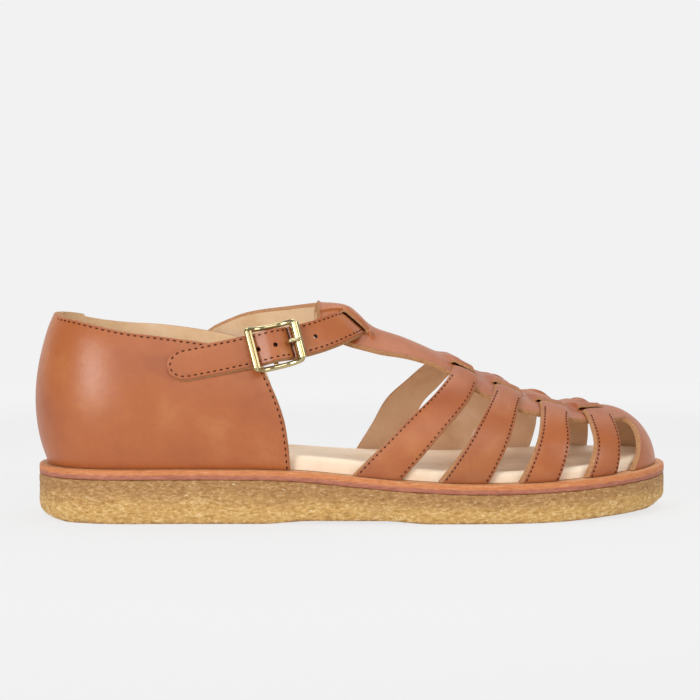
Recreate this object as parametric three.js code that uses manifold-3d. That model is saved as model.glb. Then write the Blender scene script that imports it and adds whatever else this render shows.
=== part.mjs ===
// Fisherman sandal, right shoe, in millimetres. +X points to the toe, +Y to the medial side, +Z up.
// The origin lies on the floor under the middle of the sole.
import * as THREE from 'three';
import Module from 'manifold-3d';
import { mergeVertices } from 'three/addons/utils/BufferGeometryUtils.js';

const wasm = await Module();
wasm.setup();

// Driving sizes of the sole
const SOLE_LENGTH = 276;
const BALL_WIDTH = 99;
const HEEL_WIDTH = 70;
const HEEL_CREPE = 19.3;
const FORE_CREPE = 13.1;
const MIDSOLE_THICKNESS = 3.6;
const TOE_SPRING = 2.8;
const LEDGE = 5.5;
const SOLE_ROUNDING = 1.8;

// Driving sizes of the footbed and the upper
const INSOLE_THICKNESS = 4.6;
const INSOLE_DISH = 1.6;
const INSTEP_HEIGHT = 84;
const TOE_HEIGHT = 43.6;
const COLLAR_HEIGHT = 87;
const HEEL_BULGE = 5.2;
const LEATHER = 1.8;
const LAST_BACK = 25;
const LAST_FRONT = 30;

// Driving sizes of the ankle strap and the buckle
const STRAP_WIDTH = 14.2;
const STRAP_THICKNESS = 2.4;
const TAB_WIDTH = 12.4;
const FRAME_LENGTH = 22;
const FRAME_WIDTH = 19;
const BAR_RADIUS = 1;
const ROLLER_RADIUS = 1.6;
const PRONG_RADIUS = 0.9;
const GAP = 0.3;

// Share of the length, then lateral and medial half width before the ends are rounded
const OUTLINE = [
  [0.00, 0.54 * HEEL_WIDTH, 0.46 * HEEL_WIDTH],
  [0.15, 0.54 * HEEL_WIDTH, 0.46 * HEEL_WIDTH],
  [0.28, 0.57 * HEEL_WIDTH, 0.45 * HEEL_WIDTH],
  [0.40, 0.43 * BALL_WIDTH, 0.315 * BALL_WIDTH],
  [0.52, 0.465 * BALL_WIDTH, 0.35 * BALL_WIDTH],
  [0.62, 0.49 * BALL_WIDTH, 0.415 * BALL_WIDTH],
  [0.70, 0.50 * BALL_WIDTH, 0.46 * BALL_WIDTH],
  [0.78, 0.49 * BALL_WIDTH, 0.49 * BALL_WIDTH],
  [0.88, 0.465 * BALL_WIDTH, 0.495 * BALL_WIDTH],
  [1.00, 0.43 * BALL_WIDTH, 0.50 * BALL_WIDTH],
];
const HEEL_END = { reach: 0.16, power: 2.2, swing: -0.035 * HEEL_WIDTH };
const TOE_END = { reach: 0.25, power: 2.1, swing: 0.12 * BALL_WIDTH };

// Share of the length, share of the heel's crepe, of the forefoot's crepe, of the toe spring
const PROFILE = [
  [0.00, 1.00, 0.00, 0.00],
  [0.32, 1.00, 0.00, 0.00],
  [0.40, 0.88, 0.12, 0.00],
  [0.48, 0.55, 0.45, 0.00],
  [0.56, 0.22, 0.78, 0.00],
  [0.64, 0.03, 0.97, 0.00],
  [0.72, 0.00, 1.00, 0.00],
  [0.80, 0.00, 1.02, 0.10],
  [0.90, 0.00, 1.03, 0.52],
  [1.00, 0.00, 1.04, 1.00],
];

// Share of the length, ridge height as shares of the instep and of the toe, swing of the ridge
const RIDGE = [
  [0.00, 1.07, 0.00, -0.01],
  [0.30, 1.07, 0.00, 0.00],
  [0.44, 1.040, 0.00, 0.01],
  [0.49, 0.998, 0.00, 0.015],
  [0.54, 0.940, 0.00, 0.02],
  [0.60, 0.888, 0.00, 0.02],
  [0.66, 0.817, 0.00, 0.02],
  [0.72, 0.726, 0.00, 0.025],
  [0.78, 0.58, 0.12, 0.03],
  [0.84, 0.30, 0.518, 0.035],
  [0.90, 0.08, 0.86, 0.05],
  [0.96, 0.00, 1.00, 0.065],
  [1.00, 0.00, 1.00, 0.08],
];

// Share of the length, how far the side bulges, how high it stays steep, how flat the top is
const WALL = [
  [0.00, 0.10, 0.60, 0.50],
  [0.40, 0.05, 0.55, 0.25],
  [0.55, 0.05, 0.50, 0.30],
  [0.65, 0.07, 0.50, 0.40],
  [0.75, 0.08, 0.55, 0.50],
  [0.88, 0.06, 0.58, 0.60],
  [1.00, -0.03, 0.56, 0.55],
];

// Share of the way from foot to ridge, then rear and front edge of each woven strap as shares of the length
const STRAPS = [
  [[0.00, 0.480, 0.556], [0.22, 0.549, 0.614], [0.47, 0.624, 0.676],
    [0.70, 0.667, 0.709], [1.00, 0.688, 0.722]],
  [[0.00, 0.611, 0.690], [0.22, 0.660, 0.722], [0.50, 0.711, 0.758],
    [0.78, 0.750, 0.800], [1.00, 0.764, 0.812]],
  [[0.00, 0.737, 0.804], [0.28, 0.773, 0.828], [0.50, 0.797, 0.845],
    [0.80, 0.832, 0.887], [1.00, 0.844, 0.896]],
  [[0.00, 0.848, 0.908], [0.28, 0.873, 0.923], [0.50, 0.887, 0.938],
    [0.80, 0.917, 0.966], [1.00, 0.924, 0.972]],
];

// Share of the length, footbed thickness on the lateral and on the medial side
const FOOTBED = [
  [0.00, 1.00, 1.00],
  [0.30, 1.15, 1.00],
  [0.45, 1.35, 1.00],
  [0.55, 1.15, 1.12],
  [0.62, 1.00, 1.18],
  [0.80, 1.00, 1.25],
  [1.00, 1.05, 1.05],
];

// Share of the length, share of the way up where the T-bar's margin ends
const BAR = [
  [0.430, 0.68],
  [0.480, 0.62],
  [0.530, 0.63],
  [0.600, 0.67],
  [0.650, 0.68],
  [0.700, 0.59],
  [0.760, 0.53],
  [0.860, 0.58],
  [1.000, 0.60],
];
const SLIT = 0.79;

// Share of the way up, how far forward each medial strap and the medial window's front edge lie
const MEDIAL_LEAD = [
  [0.00, 0.016, -0.010, -0.009, -0.012, -0.016],
  [0.18, -0.005, -0.017, -0.011, -0.015, -0.018],
  [0.33, -0.024, -0.020, -0.013, -0.018, -0.018],
  [0.45, -0.032, -0.021, -0.014, -0.020, -0.016],
  [0.66, -0.030, -0.016, -0.012, -0.017, -0.004],
  [0.80, -0.007, -0.005, -0.008, -0.012, 0.000],
  [1.00, 0.000, 0.000, 0.000, 0.000, 0.000],
];
const leadAt = (side, k, t) => (side > 0 ? along(MEDIAL_LEAD, k + 1, t) : 0);

// Share of the way up, rear edge of the toe cap as a share of the length
const TOE_CAP = [
  [0.00, 0.937],
  [0.24, 0.962],
  [0.48, 0.979],
  [0.60, 0.976],
  [0.72, 0.955],
  [1.00, 0.955],
];

// Share of the height, how far the heel wall stands out at the back and at the side
const HEEL_WALL = [
  [0.00, 0.00, 0.00],
  [0.15, 0.60, 0.38],
  [0.30, 0.92, 0.60],
  [0.45, 1.00, 0.66],
  [0.60, 0.85, 0.52],
  [0.75, 0.50, 0.22],
  [0.90, -0.05, -0.20],
  [1.00, -0.62, -0.55],
];

// Share of the length, collar height on the lateral and on the medial side
const COLLAR = [
  [0.00, 1.000, 1.000],
  [0.04, 0.985, 0.985],
  [0.08, 0.962, 0.962],
  [0.13, 0.932, 0.943],
  [0.20, 0.903, 0.928],
  [0.28, 0.862, 0.890],
  [0.36, 0.780, 0.830],
  [0.42, 0.760, 0.800],
];

// Share of the height, front edge of the quarter as a share of the length
const FRONT_EDGE = [
  [0.00, 0.386],
  [0.25, 0.383],
  [0.50, 0.376],
  [0.75, 0.360],
  [1.00, 0.335],
];

const lerp = (a, b, t) => a + (b - a) * t;
const clamp = (v, low, high) => Math.min(high, Math.max(low, v));
const smooth = (low, high, v) => {
  const t = clamp((v - low) / (high - low), 0, 1);
  return t * t * (3 - 2 * t);
};
const shareAt = (u) => Math.sin(Math.PI * u / 2) ** 2;
const stepAt = (share) => Math.asin(Math.sqrt(clamp(share, 0, 1))) * 2 / Math.PI;
const xAt = (share) => SOLE_LENGTH * (share - 0.5);

// Smooth curve through one column of a table whose first column rises
function along(rows, column, at) {
  const last = rows.length - 1;
  const x = clamp(at, rows[0][0], rows[last][0]);
  let i = 0;
  while (i < last - 1 && x > rows[i + 1][0]) i += 1;
  const slope = (k) => {
    const a = Math.max(k - 1, 0);
    const b = Math.min(k + 1, last);
    return (rows[b][column] - rows[a][column]) / (rows[b][0] - rows[a][0]);
  };
  const span = rows[i + 1][0] - rows[i][0];
  const t = (x - rows[i][0]) / span;
  const t2 = t * t;
  const t3 = t2 * t;
  const rise = (2 * t3 - 3 * t2 + 1) * rows[i][column] + (3 * t2 - 2 * t3) * rows[i + 1][column];
  return rise + span * ((t3 - 2 * t2 + t) * slope(i) + (t3 - t2) * slope(i + 1));
}

// The sole's edge: side -1 is lateral and 1 medial, u runs from heel to toe
function rounding(end, distance) {
  const d = clamp(distance / end.reach, 0, 1);
  return (1 - (1 - d) ** end.power) ** (1 / end.power);
}
function soleEdge(side, u) {
  const share = shareAt(u);
  const half = side * along(OUTLINE, side < 0 ? 1 : 2, share);
  const end = share < 0.5 ? HEEL_END : TOE_END;
  const full = rounding(end, share < 0.5 ? share : 1 - share);
  return [xAt(share), lerp(end.swing, half, full)];
}
function edgeAround(side, u) {
  if (u < 0) return soleEdge(-side, -u);
  if (u > 1) return soleEdge(-side, 2 - u);
  return soleEdge(side, u);
}
function outward(side, u) {
  const step = 0.004;
  const a = edgeAround(side, u - step);
  const b = edgeAround(side, u + step);
  const size = Math.hypot(b[0] - a[0], b[1] - a[1]);
  return [-side * (b[1] - a[1]) / size, side * (b[0] - a[0]) / size];
}
function inset(side, u, distance) {
  const p = soleEdge(side, u);
  const n = outward(side, u);
  return [p[0] - n[0] * distance, p[1] - n[1] * distance];
}
const spring = (share) => TOE_SPRING * Math.max(0, along(PROFILE, 3, share));
const crepeTop = (share) => HEEL_CREPE * along(PROFILE, 1, share) + FORE_CREPE * along(PROFILE, 2, share)
  + spring(share);
const midTop = (share) => crepeTop(share) + MIDSOLE_THICKNESS;

// The last's surface: t runs from the foot of the wall to the ridge
function ridge(u) {
  const share = shareAt(u);
  const x = LAST_BACK - SOLE_LENGTH / 2 + (SOLE_LENGTH - LAST_BACK - LAST_FRONT) * share;
  const z = INSTEP_HEIGHT * along(RIDGE, 1, share) + TOE_HEIGHT * along(RIDGE, 2, share);
  return [x, BALL_WIDTH * along(RIDGE, 3, share), z];
}
function onLast(side, u, t) {
  const share = shareAt(u);
  const foot = [...inset(side, u, LEDGE), midTop(share) + GAP];
  const top = ridge(u);
  const [bulge, steep, flat] = [1, 2, 3].map((column) => along(WALL, column, share));
  const r = 1 - t;
  const across = 3 * r * r * t * -bulge + 3 * r * t * t * (1 - flat) + t * t * t;
  const up = 3 * r * r * t * steep + 3 * r * t * t + t * t * t;
  return [lerp(foot[0], top[0], across), lerp(foot[1], top[1], across), lerp(foot[2], top[2], up)];
}
const between = (a, b) => [b[0] - a[0], b[1] - a[1], b[2] - a[2]];
const cross = (a, b) => [a[1] * b[2] - a[2] * b[1], a[2] * b[0] - a[0] * b[2], a[0] * b[1] - a[1] * b[0]];
const unit = (a) => {
  const size = Math.hypot(...a) || 1;
  return a.map((v) => v / size);
};
const offset = (p, n, distance) => p.map((v, i) => v + n[i] * distance);

function lastPoint(side, u, t, lift) {
  const e = 0.004;
  const low = Math.max(u - e, 0.0005);
  const high = Math.min(u + e, 0.9995);
  const run = between(onLast(side, low, t), onLast(side, high, t));
  const climb = between(onLast(side, u, Math.max(t - e, 0)), onLast(side, u, Math.min(t + e, 1)));
  const n = cross(climb, run).map((v) => v * side);
  if (t > 0.999) n[1] = 0;
  const p = offset(onLast(side, u, t), unit(n), lift);
  p[2] = Math.max(p[2], midTop(shareAt(u)) + GAP);
  return p;
}

// The heel wall: h runs from the foot of the wall to the collar
function heelWall(side, u, h, lift) {
  const share = shareAt(u);
  const foot = inset(side, u, LEDGE);
  const n = outward(side, u);
  const low = midTop(share) + GAP;
  const high = COLLAR_HEIGHT * along(COLLAR, side < 0 ? 1 : 2, share);
  const toSide = smooth(0, 0.2, share);
  const out = HEEL_BULGE * lerp(along(HEEL_WALL, 1, h), along(HEEL_WALL, 2, h), toSide);
  return [foot[0] + n[0] * (out + lift), foot[1] + n[1] * (out + lift), lerp(low, high, h)];
}

// Closed solid between two sheets over two parameters; the second lies where first cross second points
function shell(low, high, columns, rows) {
  const positions = [];
  const stride = rows + 1;
  const count = (columns + 1) * stride;
  for (const sheet of [low, high]) {
    for (let i = 0; i <= columns; i += 1) {
      for (let j = 0; j <= rows; j += 1) positions.push(...sheet(i / columns, j / rows));
    }
  }
  const index = [];
  const quad = (a, b, c, d) => index.push(a, b, c, a, c, d);
  const at = (i, j) => i * stride + j;
  for (let i = 0; i < columns; i += 1) {
    for (let j = 0; j < rows; j += 1) {
      quad(at(i, j), at(i, j + 1), at(i + 1, j + 1), at(i + 1, j));
      quad(count + at(i, j), count + at(i + 1, j), count + at(i + 1, j + 1), count + at(i, j + 1));
    }
    quad(at(i, 0), at(i + 1, 0), count + at(i + 1, 0), count + at(i, 0));
    quad(at(i + 1, rows), at(i, rows), count + at(i, rows), count + at(i + 1, rows));
  }
  for (let j = 0; j < rows; j += 1) {
    quad(at(0, j + 1), at(0, j), count + at(0, j), count + at(0, j + 1));
    quad(at(columns, j), at(columns, j + 1), count + at(columns, j + 1), count + at(columns, j));
  }
  const geometry = new THREE.BufferGeometry();
  geometry.setAttribute('position', new THREE.Float32BufferAttribute(positions, 3));
  geometry.setIndex(index);
  return geometry;
}

// Closed solid from stacked rings of equal count, closed by fans at the bottom and the top
function stack(rings) {
  const positions = [];
  const count = rings[0].length;
  for (const ring of rings) for (const p of ring) positions.push(...p);
  const index = [];
  for (let k = 0; k < rings.length - 1; k += 1) {
    for (let i = 0; i < count; i += 1) {
      const a = k * count + i;
      const b = k * count + (i + 1) % count;
      index.push(a, b, b + count, a, b + count, a + count);
    }
  }
  const half = count / 2;
  const top = (rings.length - 1) * count;
  for (let i = 0; i < half; i += 1) {
    const a = i;
    const b = i + 1;
    const c = (count - i - 1) % count;
    const d = (count - i) % count;
    if (b !== c) {
      index.push(a, c, b);
      index.push(top + a, top + b, top + c);
    }
    if (a !== d) {
      index.push(a, d, c);
      index.push(top + a, top + c, top + d);
    }
  }
  const geometry = new THREE.BufferGeometry();
  geometry.setAttribute('position', new THREE.Float32BufferAttribute(positions, 3));
  geometry.setIndex(index);
  return geometry;
}

function solid(geometry) {
  const bare = geometry.clone();
  bare.deleteAttribute('normal');
  bare.deleteAttribute('uv');
  const merged = mergeVertices(bare, 1e-4);
  const vertProperties = new Float32Array(merged.attributes.position.array);
  const triVerts = new Uint32Array(merged.index.array);
  return new wasm.Manifold(new wasm.Mesh({ numProp: 3, vertProperties, triVerts }));
}
function geometryOf(body) {
  const mesh = body.getMesh();
  const geometry = new THREE.BufferGeometry();
  geometry.setAttribute('position', new THREE.Float32BufferAttribute(mesh.vertProperties, 3));
  geometry.setIndex(Array.from(mesh.triVerts));
  return geometry;
}
const join = (bodies) => bodies.reduce((whole, body) => whole.add(body));

const group = new THREE.Group();
function addPiece(name, geometry, color, roughness, metalness) {
  const shaded = geometry.toNonIndexed();
  shaded.computeVertexNormals();
  const material = new THREE.MeshStandardMaterial({ color, roughness, metalness });
  const mesh = new THREE.Mesh(shaded, material);
  mesh.name = name;
  group.add(mesh);
}

// Sole: rings around the edge, from the floor up
const EDGE_STEPS = 44;
function ring(distance, height) {
  const points = [];
  for (let i = 0; i <= EDGE_STEPS; i += 1) {
    const u = i / EDGE_STEPS;
    points.push([...inset(-1, u, distance), height(shareAt(u), -1)]);
  }
  for (let i = EDGE_STEPS - 1; i > 0; i -= 1) {
    const u = i / EDGE_STEPS;
    points.push([...inset(1, u, distance), height(shareAt(u), 1)]);
  }
  return points;
}
const outsole = stack([
  ring(SOLE_ROUNDING, spring),
  ring(SOLE_ROUNDING * 0.3, (share) => spring(share) + SOLE_ROUNDING * 0.3),
  ring(0, (share) => spring(share) + SOLE_ROUNDING),
  ring(0, crepeTop),
]);
const MIDSOLE_BEVEL = 0.5;
const midsole = stack([
  ring(0, (share) => crepeTop(share) + GAP),
  ring(0, (share) => midTop(share) - MIDSOLE_BEVEL),
  ring(MIDSOLE_BEVEL, midTop),
]);

// Footbed: lies on the midsole inside the upper, its top dished towards the middle
const INSOLE_EDGE = LEDGE + 1.4;
const INSOLE_ROUND = 2;
const BOWL_EDGE = INSOLE_EDGE + 9;
const BOWL_FLOOR = INSOLE_EDGE + 16;
const insoleTop = (share, side) => {
  const thickness = INSOLE_THICKNESS * along(FOOTBED, side < 0 ? 1 : 2, share);
  return midTop(share) + GAP + thickness;
};
const insole = stack([
  ring(INSOLE_EDGE, (share) => midTop(share) + GAP),
  ring(INSOLE_EDGE, (share, side) => insoleTop(share, side) - INSOLE_ROUND),
  ring(INSOLE_EDGE + INSOLE_ROUND, insoleTop),
  ring(BOWL_EDGE, (share, side) => insoleTop(share, side) - INSOLE_DISH * 0.7),
  ring(BOWL_FLOOR, (share, side) => insoleTop(share, side) - INSOLE_DISH),
]);

// Woven upper: T-bar, toe cap and four straps are one wall with its strips raised
const INNER = -0.3;
const CAP_INNER = -0.15;
const RAISED = LEATHER * 2;
const TUNNEL_RISE = 4.8;
const TUNNEL = { from: 0.420, full: 0.470, fall: 0.507, to: 0.545 };

const bothSides = (w) => [w < 0 ? -1 : 1, 1 - Math.abs(w)];
function strapLift(t) {
  const onMargin = smooth(0.30, 0.56, t) * (1 - smooth(SLIT - 0.1, SLIT - 0.01, t));
  return LEATHER + (RAISED - LEATHER) * onMargin;
}
function wovenStrap(rows, k) {
  const sheet = (lift) => (a, b) => {
    const [side, t] = bothSides(2 * a - 1);
    const share = lerp(along(rows, 1, t), along(rows, 2, t), b) + leadAt(side, k, t);
    return lastPoint(side, stepAt(share), t, lift(t));
  };
  return solid(shell(sheet(strapLift), sheet(() => INNER), 24, 2));
}
const tunnelAt = (share) => {
  const full = smooth(TUNNEL.from, TUNNEL.full, share);
  return full * (1 - smooth(TUNNEL.fall, TUNNEL.to, share));
};
const BAR_END = 0.430;
const BAR_FRONT = 0.99;
const SLIT_HALF = 0.012;
function barLift(share, t) {
  const panel = smooth(SLIT - 0.01, SLIT + 0.01, t);
  const woven = smooth(0.64, 0.68, share) * (1 - smooth(0.93, 0.97, share));
  return LEATHER + panel * (TUNNEL_RISE * tunnelAt(share) + (RAISED - LEATHER) * woven);
}
function tBar() {
  const stations = [-1, -0.5, -0.02, 0, 0.5, 1, 1.5, 2, 2.02, 2.5, 3];
  const across = (share, k) => {
    const margin = along(BAR, 1, share);
    const at = stations[k];
    const inward = at < 1 ? at : 2 - at;
    const t = inward < 0 ? lerp(SLIT - SLIT_HALF, margin, -inward) : lerp(SLIT + SLIT_HALF, 1, inward);
    return [at < 1 ? -1 : 1, t];
  };
  const last = stations.length - 1;
  const sheet = (lift) => (a, b) => {
    const share = lerp(BAR_END, BAR_FRONT, a);
    const [side, t] = across(share, Math.round(b * last));
    return lastPoint(side, stepAt(share), t, lift(share, t));
  };
  return solid(shell(sheet(() => 0), sheet(barLift), 34, last));
}
function toeCap() {
  const sheet = (lift) => (a, b) => {
    const [side, t] = bothSides(2 * a - 1);
    const rear = stepAt(along(TOE_CAP, 1, t) + leadAt(side, STRAPS.length, t));
    return lastPoint(side, lerp(rear, 0.9995, b), t, lift);
  };
  return solid(shell(sheet(LEATHER), sheet(CAP_INNER), 24, 5));
}

// Ankle strap: centre as shares of sole length, heel width and collar height, then the way down its width
const STRAP = [
  [-0.285, 0.392, 0.820, 0.15, 0.10, -0.98],
  [-0.232, 0.415, 0.835, 0.15, 0.12, -0.98],
  [-0.190, 0.430, 0.872, 0.16, 0.18, -0.97],
  [-0.154, 0.420, 0.905, 0.18, 0.24, -0.95],
  [-0.115, 0.385, 0.932, 0.20, 0.30, -0.93],
  [-0.075, 0.315, 0.955, 0.28, 0.34, -0.90],
  [-0.038, 0.205, 0.973, 0.45, 0.32, -0.83],
  [0.000, 0.022, 0.988, 0.82, 0.00, -0.57],
  [-0.014, -0.207, 0.960, 0.56, -0.36, -0.74],
  [-0.053, -0.364, 0.918, 0.34, -0.35, -0.87],
  [-0.088, -0.444, 0.889, 0.22, -0.32, -0.92],
  [-0.130, -0.495, 0.863, 0.19, -0.28, -0.94],
  [-0.176, -0.522, 0.835, 0.18, -0.26, -0.95],
  [-0.229, -0.530, 0.801, 0.18, -0.24, -0.95],
  [-0.262, -0.530, 0.782, 0.17, -0.22, -0.96],
  [-0.300, -0.528, 0.760, 0.16, -0.20, -0.97],
].map((row, i, all) => [i / (all.length - 1), ...row]);

function strapFrame(v) {
  const centreAt = (w) => [
    SOLE_LENGTH * along(STRAP, 1, w),
    HEEL_WIDTH * along(STRAP, 2, w),
    COLLAR_HEIGHT * along(STRAP, 3, w),
  ];
  const centre = centreAt(v);
  const forward = unit(between(centreAt(Math.max(v - 0.01, 0)), centreAt(Math.min(v + 0.01, 1))));
  const rough = unit([along(STRAP, 4, v), along(STRAP, 5, v), along(STRAP, 6, v)]);
  const out = unit(cross(rough, forward).map((a) => -a));
  const down = unit(cross(forward, out).map((a) => -a));
  return { centre, forward, down, out };
}

// Buckle: its own axes are along the strap to the instep, up the strap's width, and outward
const BUCKLE_AT = 0.746;
const seat = strapFrame(BUCKLE_AT);
const toInstep = seat.forward.map((a) => -a);
const upWidth = seat.down.map((a) => -a);
const BAR_SPAN = FRAME_LENGTH / 2 - ROLLER_RADIUS;
const SIDE_SPAN = FRAME_WIDTH / 2 - BAR_RADIUS;
const WEAVE = 2.4;
const SINK = 0.4;
const LOOP_WALL = 1.2;
const TAB_DROP = 0.5;
const END_RISE = STRAP_THICKNESS / 2 + GAP + ROLLER_RADIUS - SINK;
const CENTRE_DROP = WEAVE - STRAP_THICKNESS / 2 - GAP - LOOP_WALL - GAP - BAR_RADIUS;

function strapWeave(p) {
  const distance = between(seat.centre, p).reduce((sum, a, i) => sum + a * toInstep[i], 0);
  if (p[1] > 0 || Math.abs(distance) > BAR_SPAN) return -SINK;
  return -SINK + (WEAVE + SINK) * (1 + Math.cos(Math.PI * distance / BAR_SPAN)) / 2;
}
const TIP_START = 0.95;
const TIP_POINT = 0.93;
function strapPoint(v, side, lift, width) {
  const { centre, down, out } = strapFrame(v);
  const tip = clamp((v - TIP_START) / (1 - TIP_START), 0, 1);
  const half = side * width / 2 * Math.sqrt(1 - TIP_POINT * tip * tip);
  return offset(offset(centre, down, half), out, lift + strapWeave(centre));
}
function strapSolid(margin, from, to, columns) {
  const sheet = (lift) => (a, b) => strapPoint(lerp(from, to, a), 2 * b - 1, lift, STRAP_WIDTH + 2 * margin);
  const half = STRAP_THICKNESS / 2 + margin;
  return solid(shell(sheet(-half), sheet(half), columns, 2));
}

// Quarter: heel wall, the tab that holds the buckle, and the ankle strap that runs on from its medial side
function heelCounter() {
  const sheet = (lift) => (a, b) => {
    const w = 2 * a - 1;
    const front = stepAt(along(FRONT_EDGE, 1, b));
    return heelWall(w < 0 ? -1 : 1, Math.abs(w) * front, b, lift);
  };
  return solid(shell(sheet(LEATHER), sheet(0), 34, 8));
}
function buckleTab() {
  const under = -STRAP_THICKNESS / 2 - GAP;
  const from = BUCKLE_AT + 0.008;
  const sheet = (lift) => (a, b) => {
    const { centre, down, out } = strapFrame(lerp(from, 0.93, a));
    const half = (2 * b - 1) * TAB_WIDTH / 2;
    return offset(offset(centre, down, half), out, under - TAB_DROP - lift);
  };
  return solid(shell(sheet(LEATHER), sheet(0), 8, 1));
}

const place = new THREE.Matrix4().makeBasis(
  new THREE.Vector3(...toInstep),
  new THREE.Vector3(...upWidth),
  new THREE.Vector3(...seat.out),
).setPosition(new THREE.Vector3(...seat.centre));
const placed = (geometry) => solid(geometry.clone().applyMatrix4(place));

const bowAt = (x) => CENTRE_DROP + (END_RISE - CENTRE_DROP) * (x / BAR_SPAN) ** 2;
function rod(radius, length, x, z, segments = 10) {
  return new THREE.CylinderGeometry(radius, radius, length, segments).translate(x, 0, z);
}
function tubeAlong(points, radius, steps) {
  const path = new THREE.CatmullRomCurve3(points.map((p) => new THREE.Vector3(...p)));
  const section = new THREE.Shape();
  section.absarc(0, 0, radius, 0, 2 * Math.PI);
  const options = { steps, extrudePath: path, curveSegments: 4, bevelEnabled: false };
  return new THREE.ExtrudeGeometry(section, options);
}
function sideRod(y) {
  const points = [-1, -0.5, 0, 0.5, 1].map((k) => [k * BAR_SPAN, y, bowAt(k * BAR_SPAN)]);
  return tubeAlong(points, BAR_RADIUS, 6);
}
function buckleFrame() {
  const pieces = [
    sideRod(-SIDE_SPAN),
    sideRod(SIDE_SPAN),
    rod(ROLLER_RADIUS * 0.9, 2 * SIDE_SPAN, -BAR_SPAN, END_RISE),
    rod(BAR_RADIUS, 2 * SIDE_SPAN, BAR_SPAN, END_RISE),
    rod(BAR_RADIUS, 2 * SIDE_SPAN, 0, CENTRE_DROP),
  ];
  for (const x of [-BAR_SPAN, BAR_SPAN]) {
    for (const y of [-SIDE_SPAN, SIDE_SPAN]) {
      const radius = x < 0 ? ROLLER_RADIUS * 0.93 : BAR_RADIUS * 1.15;
      pieces.push(new THREE.SphereGeometry(radius, 8, 6).translate(x, y, END_RISE));
    }
  }
  return join(pieces.map(placed));
}
function sleeve(inner, outer, length) {
  const half = length / 2;
  const profile = [[inner, -half], [outer, -half], [outer, half], [inner, half], [inner, -half]];
  return new THREE.LatheGeometry(profile.map((p) => new THREE.Vector2(...p)), 12);
}
const SLEEVE_INNER = BAR_RADIUS + GAP;
const SLEEVE_OUTER = SLEEVE_INNER + LOOP_WALL;
const PRONG_SLOT = 2 * PRONG_RADIUS + 1.6;
const PRONG_PATH = [
  [1.6, 0, CENTRE_DROP + 1.1],
  [3.6, 0, CENTRE_DROP + 2.2],
  [5.6, 0, END_RISE + 0.6],
  [8.0, 0, END_RISE + ROLLER_RADIUS + PRONG_RADIUS - 0.2],
  [BAR_SPAN, 0, END_RISE + ROLLER_RADIUS + PRONG_RADIUS + GAP],
  [BAR_SPAN + 0.9, 0, END_RISE + ROLLER_RADIUS + PRONG_RADIUS + 0.1],
];
function prong() {
  const eye = sleeve(SLEEVE_INNER, SLEEVE_OUTER, 2 * PRONG_RADIUS).translate(0, 0, CENTRE_DROP);
  return placed(eye).add(placed(tubeAlong(PRONG_PATH, PRONG_RADIUS, 9)));
}

const roller = placed(sleeve(BAR_RADIUS + GAP, ROLLER_RADIUS, 2 * (SIDE_SPAN - BAR_RADIUS - GAP))
  .translate(BAR_SPAN, 0, END_RISE));
const prongTunnel = placed(tubeAlong(PRONG_PATH, PRONG_RADIUS + 0.5, 9));
const prongSlot = placed(new THREE.BoxGeometry(8, PRONG_SLOT, 9).translate(1, 0, CENTRE_DROP));
const barWay = placed(rod(SLEEVE_INNER, 2 * SIDE_SPAN, 0, CENTRE_DROP));

const strap = strapSolid(0, 0, 1, 60).subtract(prongTunnel);
const strapWay = strapSolid(GAP, 0.3, 0.65, 21);
const tipWay = strapSolid(GAP, 0.7, 1, 18);
const tabSleeve = sleeve(SLEEVE_INNER, SLEEVE_OUTER, TAB_WIDTH).translate(0, 0, CENTRE_DROP);
const tab = join([buckleTab(), placed(tabSleeve)])
  .subtract(barWay)
  .subtract(prongSlot);
const quarter = heelCounter().add(tab).subtract(tipWay).add(strap);
const vamp = join([tBar(), toeCap(), ...STRAPS.map(wovenStrap)]).subtract(strapWay);

addPiece('outsole', outsole, '#c9a25f', 0.9, 0);
addPiece('midsole', midsole, '#cf8650', 0.7, 0);
addPiece('insole', insole, '#ecd3b0', 0.75, 0);
addPiece('vamp', geometryOf(vamp), '#b9714a', 0.5, 0);
addPiece('quarter', geometryOf(quarter), '#b9714a', 0.5, 0);
addPiece('buckle_frame', geometryOf(buckleFrame()), '#d9c48a', 0.25, 1);
addPiece('buckle_roller', geometryOf(roller), '#d9c48a', 0.25, 1);
addPiece('buckle_prong', geometryOf(prong()), '#d9c48a', 0.25, 1);

const box = new THREE.Box3().setFromObject(group);
group.position.set(-(box.min.x + box.max.x) / 2, -(box.min.y + box.max.y) / 2, -box.min.z);

export default group;
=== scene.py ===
"""Right fisherman sandal: waxed calf leather upper, leather midsole, crepe rubber sole, brass buckle."""
import math

import bmesh
import bpy
import numpy as np
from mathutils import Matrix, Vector, noise


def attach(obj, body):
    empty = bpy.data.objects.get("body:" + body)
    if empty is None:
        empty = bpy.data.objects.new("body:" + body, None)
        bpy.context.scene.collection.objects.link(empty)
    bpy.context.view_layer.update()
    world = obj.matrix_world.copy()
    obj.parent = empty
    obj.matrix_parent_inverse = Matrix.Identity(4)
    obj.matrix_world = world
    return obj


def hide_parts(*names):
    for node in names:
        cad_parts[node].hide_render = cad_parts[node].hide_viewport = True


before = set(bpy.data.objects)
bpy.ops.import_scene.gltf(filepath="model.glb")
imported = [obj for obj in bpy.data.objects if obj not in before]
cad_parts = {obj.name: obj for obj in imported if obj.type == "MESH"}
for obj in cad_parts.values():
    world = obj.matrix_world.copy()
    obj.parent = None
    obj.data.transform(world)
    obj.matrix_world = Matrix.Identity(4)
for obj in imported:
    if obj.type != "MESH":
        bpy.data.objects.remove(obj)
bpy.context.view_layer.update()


def linked(name, data):
    """A new object in the scene."""
    made = bpy.data.objects.new(name, data)
    bpy.context.scene.collection.objects.link(made)
    return made


def table(text):
    return np.array([[float(each) for each in row.split()] for row in text.split("\n") if row])


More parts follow.
